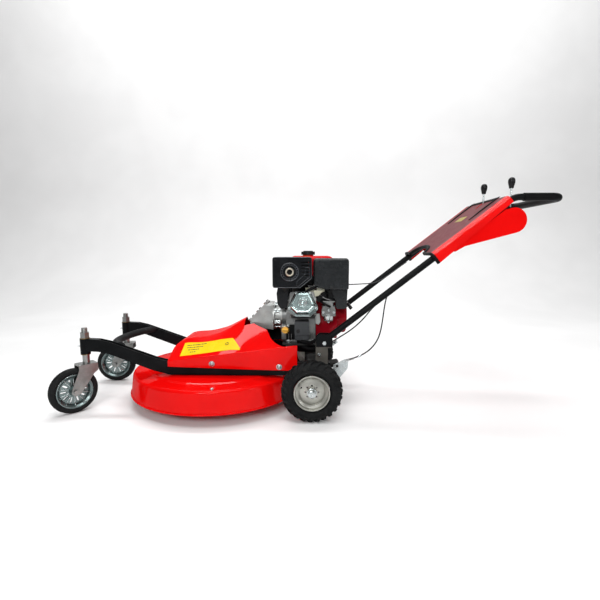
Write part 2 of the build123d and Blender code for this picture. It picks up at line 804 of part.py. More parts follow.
with BuildPart() as cplate:
    with BuildSketch(side(136)):
        with BuildLine():
            FilletPolyline((-102, 208), (-104, 168), (-118, 158), (-140, 158), (-156, 180), (-160, 212), (-150, 218), radius=[8, 8, 5, 8, 8, 4, 4], close=True)
        make_face()
        with Locations((-118, 185)):
            Circle(6.3, mode=Mode.SUBTRACT)
        with Locations((-150, 205)):
            Circle(3.2, mode=Mode.SUBTRACT)
    extrude(amount=4)
save(cplate, "drive_clutch_plate")

RIM_R = 71.0
RIM_PROFILE = [(RIM_R, -25), (RIM_R, 25), (RIM_R + 4, 32.5), (RIM_R + 4, 35), (RIM_R - 1, 35), (RIM_R - 4, 24), (RIM_R - 14, 16), (RIM_R - 14, 8),
               (30, 14), (18, 14), (18, 9), (28, 9), (RIM_R - 16, 3), (RIM_R - 16, -16), (RIM_R - 4, -24), (RIM_R - 1, -35), (RIM_R + 4, -35), (RIM_R + 4, -32.5)]
for sgn, lr in ((1, "left"), (-1, "right")):
    with BuildPart() as tyre:
        with BuildSketch(Plane(origin=(AX, sgn * WHEEL_Y, WHEEL_R), x_dir=(1, 0, 0), z_dir=(0, 0, 1))):
            with BuildLine():
                FilletPolyline((RIM_R, -25), (RIM_R + 6, -33), (WHEEL_R - 22, -WHEEL_W / 2), (WHEEL_R - 6, -WHEEL_W / 2 + 5), (WHEEL_R, -WHEEL_W / 2 + 14),
                               (WHEEL_R, WHEEL_W / 2 - 14), (WHEEL_R - 6, WHEEL_W / 2 - 5), (WHEEL_R - 22, WHEEL_W / 2), (RIM_R + 6, 33), (RIM_R, 25),
                               radius=[0.5, 4, 12, 6, 6, 6, 6, 12, 4, 0.5], close=True)
            make_face()
        revolve(axis=Axis((AX, sgn * WHEEL_Y, WHEEL_R), (0, 1, 0)))
    save(tyre, lr + "_rear_tyre")
    with BuildPart() as rim:
        with BuildSketch(Plane(origin=(AX, sgn * WHEEL_Y, WHEEL_R), x_dir=(1, 0, 0), z_dir=(0, 0, 1))):
            with BuildLine():
                Polyline(*[(r, sgn * y) for r, y in RIM_PROFILE], close=True)
            make_face()
        revolve(axis=Axis((AX, sgn * WHEEL_Y, WHEEL_R), (0, 1, 0)))
        # hub and half shaft
        with BuildSketch(side(sgn * (WHEEL_Y + (-sgn) * 0))):
            with Locations((0, WHEEL_R)):
                Circle(20)
        extrude(amount=30, both=True)
        with BuildSketch(side(sgn * (WHEEL_Y + 28))):
            with Locations((0, WHEEL_R)):
                Circle(15)
        extrude(amount=14, both=True)
        with BuildSketch(side(sgn * 180)):
            with Locations((0, WHEEL_R)):
                Circle(15)
        extrude(amount=116, both=True)
        with BuildSketch(side(sgn * (WHEEL_Y + 10))):
            with Locations((0, WHEEL_R)):
                with PolarLocations(27, 8):
                    Circle(4)
        extrude(amount=14, both=True, mode=Mode.SUBTRACT)
    save(rim, lr + "_rear_rim")

# ---------------------------------------------------------------- casters
for sgn, ang, lr in ((1, SWIVEL_L, "left"), (-1, SWIVEL_R, "right")):
    a = radians(ang)
    hx, hy = cos(a), sin(a)
    kx, ky = AX + POST_X, sgn * POST_Y
    wx, wy = kx + TRAIL * hx, ky + TRAIL * hy

    def cside(off):
        """Plane of the wheel, local x towards the wheel from the king pin, local y up, offset along the axle."""
        return Plane(origin=(kx - off * hy, ky + off * hx, 0), x_dir=(hx, hy, 0), z_dir=(hy, -hx, 0))

    with BuildPart() as fork:
        with BuildSketch(Plane(origin=(kx, ky, 208), x_dir=(hx, hy, 0), z_dir=(0, 0, 1))):
            with Locations((2, 0)):
                RectangleRounded(80, 62, 6)
        extrude(amount=5)
        for o in (1, -1):
            with BuildSketch(cside(o * 28.5)):
                with BuildLine():
                    FilletPolyline((-37, 212), (-38, 180), (-20, 168), (40, 86), (62, 80), (78, 94), (74, 112), (42, 190), (41, 212),
                                   radius=[1, 6, 20, 12, 14, 14, 20, 30, 1], close=True)
                make_face()
            extrude(amount=2.5, both=True)
        # stem
        with BuildSketch(Plane(origin=(kx, ky, 212))):
            Circle(15)
        extrude(amount=SLEEVE_Z0 - 3 - 0.5 - 212)
        with BuildSketch(Plane(origin=(kx, ky, 240))):
            Circle(12)
        extrude(amount=SLEEVE_Z1 + 3.4 - 240 + 44)
        with BuildSketch(Plane(origin=(kx, ky, SLEEVE_Z1 + 3.5))):
            RegularPolygon(20, 6)
        extrude(amount=24)
        # axle bolt with its heads
        with BuildSketch(cside(0)):
            with Locations((TRAIL, CASTER_R)):
                Circle(6)
        extrude(amount=38, both=True)
        for o in (1, -1):
            with BuildSketch(cside(o * 35)):
                with Locations((TRAIL, CASTER_R)):
                    RegularPolygon(10, 6)
            extrude(amount=4, both=True)
    save(fork, lr + "_caster_fork")

    cw = Plane(origin=(wx, wy, CASTER_R), x_dir=(hx, hy, 0), z_dir=(0, 0, 1))
    cax = Axis((wx, wy, CASTER_R), (-hy, hx, 0))
    with BuildPart() as ctyre:
        with BuildSketch(cw):
            with BuildLine():
                FilletPolyline((73, -14), (78, -18), (90, -20), (100, -11), (100, 11), (90, 20), (78, 18), (73, 14),
                               radius=[0.5, 3, 6, 8, 8, 6, 3, 0.5], close=True)
            make_face()
        revolve(axis=cax)
    save(ctyre, lr + "_caster_tyre")
    with BuildPart() as crim:
        with BuildSketch(cw):
            with BuildLine():
                Polyline((73, -14), (73, 14), (75, 19), (75, 21), (71, 21), (64, 14), (58, 4), (22, 8), (18, 22), (6 + FIT, 22),
                         (6 + FIT, -22), (18, -22), (22, -8), (58, -4), (64, -14), (71, -21), (75, -21), (75, -19), close=True)
            make_face()
        revolve(axis=cax)
        with BuildSketch(Plane(origin=(wx, wy, CASTER_R), x_dir=(hx, hy, 0), z_dir=(hy, -hx, 0))):
            with PolarLocations(41, 10):
                SlotOverall(26, 7)
        extrude(amount=16, both=True, mode=Mode.SUBTRACT)
    save(crim, lr + "_caster_rim")

# ---------------------------------------------------------------- handlebar: one bent tube
q, c = sin(radians(SLOPE)), cos(radians(SLOPE))
bend = (HB0[0] - (GRIP_Z - HB0[1]) * c / q, GRIP_Z)
low = hb(-36)
pts = [(AX + low[0], TUBE_Y, low[1]), (AX + bend[0], TUBE_Y, GRIP_Z), (AX + GRIP_X, TUBE_Y, GRIP_Z),
       (AX + GRIP_X, -TUBE_Y, GRIP_Z), (AX + bend[0], -TUBE_Y, GRIP_Z), (AX + low[0], -TUBE_Y, low[1])]
with BuildPart() as bar:
    with BuildLine() as bl:
        FilletPolyline(*pts, radius=[70, 55, 55, 70])
    with BuildSketch(Plane(origin=bl.line @ 0, z_dir=bl.line % 0)):
        Circle(TUBE_R)
        Circle(TUBE_R - 2.5, mode=Mode.SUBTRACT)
    sweep()
save(bar, "handlebar")

with BuildPart() as grip:
    with BuildLine() as gl:
        FilletPolyline((AX - 880, TUBE_Y, GRIP_Z), (AX + GRIP_X, TUBE_Y, GRIP_Z), (AX + GRIP_X, -TUBE_Y, GRIP_Z), (AX - 880, -TUBE_Y, GRIP_Z), radius=[55, 55])
    with BuildSketch(Plane(origin=gl.line @ 0, z_dir=gl.line % 0)):
        Circle(TUBE_R + 3)
        Circle(TUBE_R, mode=Mode.SUBTRACT)
    sweep()
save(grip, "grip_sleeve")

# ---------------------------------------------------------------- console on the tubes
S0, S1 = 566.0, 955.0
PY = 233.0


def across(s):
    """Plane across the handlebar line at distance s: local x is Y, local y is the normal."""
    x, z = hb(s)
    return Plane(origin=(AX + x, 0, z), x_dir=(0, 1, 0), z_dir=(c, 0, -q))


def onpanel(n):
    """Plane parallel to the console panel at height n: local x runs up the slope, local y is -Y."""
    x, z = hb(0, n)
    return Plane(origin=(AX + x, 0, z), x_dir=(-c, 0, q), z_dir=(q, 0, c))


with BuildPart() as panel:
    with BuildSketch(across(S1)):
        with BuildLine():
            l1 = FilletPolyline((-PY, -30), (-PY, 24), (PY, 24), (PY, -30), (PY - SHEET, -30), (PY - SHEET, 24 - SHEET), (-PY + SHEET, 24 - SHEET), (-PY + SHEET, -30),
                                radius=[0.4, 22, 22, 0.4, 0.4, 20, 20, 0.4], close=True)
        make_face()
    extrude(amount=S1 - S0)
    # side flanges get shallower towards the top
    with BuildSketch(side(0)):
        with BuildLine():
            Polyline(hb(S0 - 5, -28), hb(S0 - 5, -60), hb(S1 + 5, -60), hb(S1 + 5, -8), close=True)
        make_face()
    extrude(amount=PY + 5, both=True, mode=Mode.SUBTRACT)
    # cable arch at the lower end
    with BuildSketch(onpanel(10)):
        with Locations((S0, 0)):
            Ellipse(56, 118)
    extrude(amount=30, mode=Mode.SUBTRACT)
    # two long slots and the lever slot, open at the top edge
    with BuildSketch(onpanel(10)):
        for y in (132, -132):
            with Locations((S1 - 72, y)):
                Rectangle(164, 9)
        with Locations((S1 - 20, 0)):
            Rectangle(60, 14)
    extrude(amount=30, mode=Mode.SUBTRACT)
save(panel, "console_panel")

with BuildPart() as ptrim:
    with BuildSketch(onpanel(21)):
        with Locations((S0, 0)):
            Ellipse(56, 118)
            Ellipse(51, 113, mode=Mode.SUBTRACT)
        with Locations((S0 - 60, 0)):
            Rectangle(120, 300, mode=Mode.SUBTRACT)
    extrude(amount=5)
    with BuildSketch(onpanel(24.05)):
        for y in (132, -132):
            with Locations((S1 - 71, y)):
                Rectangle(160, 14)
                Rectangle(174, 9, mode=Mode.SUBTRACT)
        with Locations((S1 - 6, 0)):
            Rectangle(10, 250)
        with Locations((S1 - 20, 0)):
            Rectangle(60, 14, mode=Mode.SUBTRACT)
    extrude(amount=2.5)
    add(panel.part, mode=Mode.SUBTRACT)
save(ptrim, "console_trim")

PIV = hb(907, -16)
PIV2 = (PIV[0] - 40, PIV[1])
LEVERS = ((0, PIV, (hb(776, 14), hb(800, 14), hb(927, 12), hb(927, -30), hb(892, -34), hb(776, 0))),
          (LEVER2_Y, PIV2, (hb(776, 14), hb(800, 14), hb(930, 8), hb(951, -30), hb(951, -51), hb(925, -53), hb(776, 0))))

# saddles between the tubes and the panel
with BuildPart() as saddles:
    for s in (664, 800):
        with BuildSketch(across(s)):
            with Locations((0, (TUBE_R + 22) / 2)):
                Rectangle(2 * 204, 22 - TUBE_R)
        extrude(amount=24)
    # lever pivot plates hang under the upper saddle, and the outer pair reaches past the panel's end
    for y0, (px_, pz_), plate in LEVERS:
        for dy in (-14, 14):
            with BuildSketch(side(y0 + dy)):
                with BuildLine():
                    Polyline(*plate, close=True)
                make_face()
            extrude(amount=2, both=True)
        with BuildSketch(side(y0)):
            with Locations((px_, pz_)):
                Circle(5)
        extrude(amount=15, both=True)
save(saddles, "lever_bracket")

# lower tray
TR = [hb(650, -30), (-640, 731), (-865, 790), (-889, 825), (-888, 858), (-862, 889), hb(918, -20)]
TRi = [hb(652, -20), (-645, 734), (-863, 792.5), (-886.5, 826), (-885.5, 857), (-861, 886.5), hb(930, 4)]
with BuildPart() as tray:
    with BuildSketch(side(0)):
        with BuildLine():
            FilletPolyline(*TR, radius=[1, 20, 30, 20, 20, 20, 1], close=True)
        make_face()
    extrude(amount=229.5, both=True)
    with BuildSketch(side(0)):
        with BuildLine():
            FilletPolyline((TR[1][0] + 30, TR[1][1] + 40), (-650, 735.6), (-864, 792.2), (-886.8, 826), (-885.8, 857), (-860.5, 886.4), hb(918, 20), radius=[1, 18, 28, 19, 19, 19, 1], close=True)
        make_face()
    extrude(amount=227.5, both=True, mode=Mode.SUBTRACT)
    # clear of the handlebar tubes
    with BuildSketch(side(0)):
        with BuildLine():
            Polyline(hb(600, -15), hb(600, 60), hb(960, 60), hb(960, -15), close=True)
        make_face()
    extrude(amount=240, both=True, mode=Mode.SUBTRACT)
save(tray, "console_tray")

# ---------------------------------------------------------------- control levers
for (y0, (px_, pz_), plate), nm in zip(LEVERS, ("blade_control_lever", "drive_control_lever")):
    with BuildPart() as lev:
        with BuildSketch(side(y0)):
            with Locations((px_, pz_)):
                Circle(11)
                Circle(5.4, mode=Mode.SUBTRACT)
        extrude(amount=5, both=True)
        with BuildSketch(Plane(origin=(AX + px_ - 7.5, y0, pz_ + 9))):
            Circle(4)
        extrude(amount=92)
    save(lev, nm)
    with BuildPart() as knob:
        with BuildSketch(Plane(origin=(AX + px_ - 7.5, y0, 0), x_dir=(1, 0, 0), z_dir=(0, -1, 0))):
            with BuildLine():
                b0 = pz_ + 97
                Polyline((0, b0 + 4), (0, b0), (9, b0))
                Spline((9, b0), (14, b0 + 24), (13, b0 + 37), (0, b0 + 46), tangents=((0.1, 1), (-1, 0)))
                Line((0, b0 + 46), (0, b0 + 4))
            make_face()
        revolve(axis=Axis((AX + px_ - 7.5, y0, 0), ZV))
        with BuildSketch(Plane(origin=(AX + px_ - 7.5, y0, b0 - 1))):
            Circle(4)
        extrude(amount=5, mode=Mode.SUBTRACT)
    save(knob, nm.replace("lever", "knob"))

# ---------------------------------------------------------------- bolts
with BuildPart() as bolts:
    # dome bolts through the hood sides into the arms
    for sgn in (1, -1):
        for bx, bz in ((440, 218), (143, 206)):
            with BuildSketch(side(sgn * 224.5)):
                with Locations((bx, bz)):
                    Circle(11)
            extrude(amount=-sgn * 5)
        # handle bracket bolts
        for bx, bz, yb in ((-54, 315, 234.0), (-32, 262, 229.0)):
            with BuildSketch(side(sgn * yb)):
                with Locations((bx, bz)):
                    RegularPolygon(9, 6)
            extrude(amount=-sgn * 7)
    # deck bolts
    with BuildSketch(Plane(origin=(AX + DECK_X, 0, 163))):
        with PolarLocations(150, 6, start_angle=30):
            RegularPolygon(9, 6)
    extrude(amount=6)
with BuildPart() as fasteners:
    add(bolts.part)
    add(studs.part)
save(fasteners, "bolts_and_studs")

# ---------------------------------------------------------------- control cables
CR = 3.2


def cable(points):
    """Bowden cable: straight runs joined by the largest arcs the runs allow."""
    v = [Vector(*p) for p in points]
    radii = []
    for i in range(1, len(v) - 1):
        a, b = v[i] - v[i - 1], v[i + 1] - v[i]
        turn = a.get_angle(b)
        radii.append(0.45 * min(a.length, b.length) / tan(radians(turn) / 2))
    print("cable radii", [round(r, 1) for r in radii])
    with BuildPart() as cb:
        with BuildLine() as ln:
            FilletPolyline(*points, radius=radii)
        with BuildSketch(Plane(origin=ln.line @ 0, z_dir=ln.line % 0)):
            Circle(CR)
        sweep()
    L = sum(e.length for e in ln.line.edges())
    print("cable length", round(L, 1), "volume ratio", round(cb.part.volume / (pi * CR ** 2 * L), 4))
    return cb


CABLE_DRIVE = [(-470, 60, 616), (-420, 64, 581), (-374, 74, 546), (-346, 92, 505), (-334, 108, 460), (-326, 120, 410),
               (-318, 130, 362), (-306, 134, 316), (-282, 134, 276), (-248, 134, 246), (-212, 134, 228), (-172, 134, 214)]
CABLE_BLADE = [(-330, 182, 519), (-292, 182, 486), (-262, 178, 456), (-240, 172, 424), (-212, 168, 392), (-176, 166, 360), (-134, 166, 332), (-92, 166, 306)]
CABLE_THROT = [(-163.6, 120, 560), (-196, 121, 561), (-230, 118, 563), (-266, 108, 564), (-300, 92, 570), (-332, 74, 584), (-366, 62, 606), (-404, 57, 634), (-440, 56, 660)]
drive_c = cable([(AX + x, y, z) for x, y, z in CABLE_DRIVE])
blade_c = cable([(AX + x, y, z) for x, y, z in CABLE_BLADE])
throt_c = cable([(AX + x, y, z) for x, y, z in CABLE_THROT])
with BuildPart() as cables:
    add(drive_c.part)
    add(blade_c.part)
    add(throt_c.part)
save(cables, "control_cables")
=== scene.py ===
import math
import random

import bmesh
import bpy
from mathutils import Matrix, Vector

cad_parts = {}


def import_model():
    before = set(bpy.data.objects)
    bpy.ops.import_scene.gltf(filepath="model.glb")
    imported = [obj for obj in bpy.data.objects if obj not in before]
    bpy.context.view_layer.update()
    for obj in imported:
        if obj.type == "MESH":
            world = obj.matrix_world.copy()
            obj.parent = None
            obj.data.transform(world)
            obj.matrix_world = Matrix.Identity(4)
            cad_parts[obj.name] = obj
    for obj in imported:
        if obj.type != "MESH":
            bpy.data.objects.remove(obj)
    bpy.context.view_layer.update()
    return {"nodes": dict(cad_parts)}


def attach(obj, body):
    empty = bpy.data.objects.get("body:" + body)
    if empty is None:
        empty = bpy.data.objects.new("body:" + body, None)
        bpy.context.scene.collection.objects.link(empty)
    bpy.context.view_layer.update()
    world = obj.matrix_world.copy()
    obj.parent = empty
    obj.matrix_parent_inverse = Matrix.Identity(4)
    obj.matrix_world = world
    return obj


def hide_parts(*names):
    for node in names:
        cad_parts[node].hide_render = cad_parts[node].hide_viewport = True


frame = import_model()
rng = random.Random(7)

AX = -0.054385          # rear axle line
SL = math.radians(38.0)
C38, S38 = math.cos(SL), math.sin(SL)


def P(x, y, z):
    """mm from the rear axle line to metres in the frame."""
    return Vector((AX + x / 1000.0, y / 1000.0, z / 1000.0))


def hb(s, n=0.0):
    return (-71.0 - s * C38 + n * S38, 332.0 + s * S38 + n * C38)


# ------------------------------------------------------------------ materials
class Nodes:
    def __init__(self, name):
        self.m = bpy.data.materials.new(name)
        self.m.use_nodes = True
        self.t = self.m.node_tree
        self.t.nodes.clear()
        self.out = self.t.nodes.new("ShaderNodeOutputMaterial")
        self.p = self.t.nodes.new("ShaderNodeBsdfPrincipled")
        self.t.links.new(self.p.outputs[0], self.out.inputs[0])
        self.co = self.t.nodes.new("ShaderNodeTexCoord")

    def n(self, kind, **kw):
        nd = self.t.nodes.new(kind)
        for k, v in kw.items():
            setattr(nd, k, v)
        return nd

    def link(self, a, b):
        self.t.links.new(a, b)

    def noise(self, scale, detail=4.0, rough=0.55, dist=0.0):
        nd = self.n("ShaderNodeTexNoise")
        nd.inputs["Scale"].default_value = scale
        nd.inputs["Detail"].default_value = detail
        nd.inputs["Roughness"].default_value = rough
        nd.inputs["Distortion"].default_value = dist
        self.link(self.co.outputs["Object"], nd.inputs["Vector"])
        return nd.outputs["Fac"]

    def voronoi(self, scale, feature="F1"):
        nd = self.n("ShaderNodeTexVoronoi", feature=feature)
        nd.inputs["Scale"].default_value = scale
        self.link(self.co.outputs["Object"], nd.inputs["Vector"])
        return nd

    def ramp(self, fac, stops, interp="LINEAR"):
        nd = self.n("ShaderNodeValToRGB")
        nd.color_ramp.interpolation = interp
        e = nd.color_ramp.elements
        while len(e) < len(stops):
            e.new(0.5)
        for el, (pos, col) in zip(e, stops):
            el.position = pos
            el.color = (*col, 1.0) if len(col) == 3 else col
        self.link(fac, nd.inputs[0])
        return nd.outputs[0]

    def remap(self, fac, a, b, lo=0.0, hi=1.0):
        nd = self.n("ShaderNodeMapRange")
        nd.inputs["From Min"].default_value = lo
        nd.inputs["From Max"].default_value = hi
        nd.inputs["To Min"].default_value = a
        nd.inputs["To Max"].default_value = b
        self.link(fac, nd.inputs["Value"])
        return nd.outputs[0]

    def mix(self, fac, a, b, blend="MIX"):
        nd = self.n("ShaderNodeMix", data_type="RGBA", blend_type=blend)
        for sock, v in ((nd.inputs[0], fac), (nd.inputs[6], a), (nd.inputs[7], b)):
            if isinstance(v, (tuple, list)):
                sock.default_value = (*v, 1.0) if len(v) == 3 else v
            elif isinstance(v, (int, float)):
                sock.default_value = v
            else:
                self.link(v, sock)
        return nd.outputs[2]

    def math(self, op, a, b=None):
        nd = self.n("ShaderNodeMath", operation=op)
        for sock, v in zip(nd.inputs, (a, b)):
            if v is None:
                continue
            if isinstance(v, (int, float)):
                sock.default_value = v
            else:
                self.link(v, sock)
        return nd.outputs[0]

    def bump(self, height, strength, dist, bevel=0.0):
        nd = self.n("ShaderNodeBump")
        nd.inputs["Strength"].default_value = strength
        nd.inputs["Distance"].default_value = dist
        self.link(height, nd.inputs["Height"])
        if bevel:
            bv = self.n("ShaderNodeBevel", samples=4)
            bv.inputs["Radius"].default_value = bevel
            self.link(bv.outputs[0], nd.inputs["Normal"])
        self.link(nd.outputs[0], self.p.inputs["Normal"])
        return nd

    def wear(self, lo=0.62, hi=0.74, scale=90.0):
        return self.remap(self.noise(scale, 6, 0.7), 0.0, 1.0, lo, hi)


def paint(name, c0, c1, rough=(0.16, 0.26), coat=0.12, peel=0.15, bevel=0.0012, dust=0.0, metallic=0.0, chip=None, tint=(1.0, 0.12, 0.12)):
    k = Nodes(name)
    big = k.noise(5.0, 3)
    col = k.mix(k.remap(big, 0, 1, 0.35, 0.65), c0, c1)
    fine = k.noise(60.0, 5)
    col = k.mix(k.remap(fine, 0.0, 0.10, 0.5, 0.8), col, tuple(v * 0.6 + 0.004 for v in c0))
    if chip:
        col = k.mix(k.wear(), col, chip)
    if dust:
        sep = k.n("ShaderNodeSeparateXYZ")
        k.link(k.co.outputs["Object"], sep.inputs[0])
        low = k.remap(sep.outputs[2], 0.10, 0.0, 0.045, 0.075)
        col = k.mix(k.math("MULTIPLY", low, k.remap(k.noise(30.0, 5), 0.0, dust, 0.45, 0.8)), col, (0.30, 0.24, 0.19))
    k.link(col, k.p.inputs["Base Color"])
    k.link(k.remap(k.noise(22.0, 5), rough[0], rough[1], 0.3, 0.7), k.p.inputs["Roughness"])
    k.p.inputs["Metallic"].default_value = metallic
    k.p.inputs["Coat Weight"].default_value = coat
    k.p.inputs["Coat Roughness"].default_value = 0.05
    k.p.inputs["Coat IOR"].default_value = 1.6
    k.p.inputs["Specular IOR Level"].default_value = 0.0
    k.p.inputs["Specular Tint"].default_value = (*tint, 1.0)
    k.bump(k.noise(700.0, 2), peel, 0.0006, bevel)
    return k.m


def powder(name, c0, c1, rough=(0.42, 0.6), grain=0.35, scale=1400.0, bevel=0.001, spec=0.06):
    k = Nodes(name)
    col = k.mix(k.remap(k.noise(9.0, 4), 0, 1, 0.35, 0.65), c0, c1)
    col = k.mix(k.math("MULTIPLY", k.wear(0.60, 0.72, 45.0), 0.35), col, tuple(v * 2.2 + 0.004 for v in c1))
    k.link(col, k.p.inputs["Base Color"])
    k.link(k.remap(k.noise(35.0, 5), rough[0], rough[1], 0.3, 0.7), k.p.inputs["Roughness"])
    k.p.inputs["Specular IOR Level"].default_value = spec
    k.bump(k.noise(scale, 3), grain, 0.0005, bevel)
    return k.m


def metal(name, c0, c1, rough=(0.25, 0.42), grain=0.15, scale=300.0, spangle=0.0, bevel=0.0008, stain=None, brushed=None, metallic=1.0):
    k = Nodes(name)
    col = k.mix(k.remap(k.noise(14.0, 5), 0, 1, 0.3, 0.7), c0, c1)
    if spangle:
        v = k.voronoi(spangle)
        g = k.ramp(v.outputs["Color"], [(0.0, (0.82, 0.82, 0.82)), (1.0, (1.08, 1.08, 1.08))])
        col = k.mix(0.6, col, g, "MULTIPLY")
    if stain:
        col = k.mix(k.remap(k.noise(45.0, 6, 0.65), 0.0, 0.75, 0.55, 0.75), col, stain)
    k.link(col, k.p.inputs["Base Color"])
    k.p.inputs["Metallic"].default_value = metallic
    k.link(k.remap(k.noise(60.0, 5), rough[0], rough[1], 0.3, 0.7), k.p.inputs["Roughness"])
    if brushed:
        mp = k.n("ShaderNodeMapping")
        mp.inputs["Scale"].default_value = brushed
        k.link(k.co.outputs["Object"], mp.inputs["Vector"])
        nd = k.n("ShaderNodeTexNoise")
        nd.inputs["Scale"].default_value = 60.0
        k.link(mp.outputs[0], nd.inputs["Vector"])
        k.bump(nd.outputs["Fac"], grain, 0.0004, bevel)
    else:
        k.bump(k.noise(scale, 4), grain, 0.0006, bevel)
    return k.m


def plastic(name, c0, c1, rough=(0.32, 0.48), grain=0.25, scale=1100.0, bevel=0.001, spec=0.2):
    k = Nodes(name)
    k.link(k.mix(k.remap(k.noise(16.0, 4), 0, 1, 0.3, 0.7), c0, c1), k.p.inputs["Base Color"])
    k.link(k.remap(k.noise(28.0, 5), rough[0], rough[1], 0.3, 0.7), k.p.inputs["Roughness"])
    k.p.inputs["Specular IOR Level"].default_value = spec
    v = k.voronoi(scale)
    k.bump(v.outputs["Distance"], grain, 0.0004, bevel)
    return k.m


def rubber(name, c0, c1, dusty=None, rough=(0.62, 0.85), scale=500.0, grain=0.3, bevel=0.0):
    k = Nodes(name)
    col = k.mix(k.remap(k.noise(20.0, 5), 0, 1, 0.3, 0.7), c0, c1)
    if dusty:
        col = k.mix(k.remap(k.noise(60.0, 6, 0.7), 0.0, 0.5, 0.5, 0.8), col, dusty)
    k.link(col, k.p.inputs["Base Color"])
    k.link(k.remap(k.noise(40.0, 4), rough[0], rough[1], 0.3, 0.7), k.p.inputs["Roughness"])
    k.p.inputs["Specular IOR Level"].default_value = 0.07
    k.bump(k.noise(scale, 4), grain, 0.0006, bevel)
    return k.m


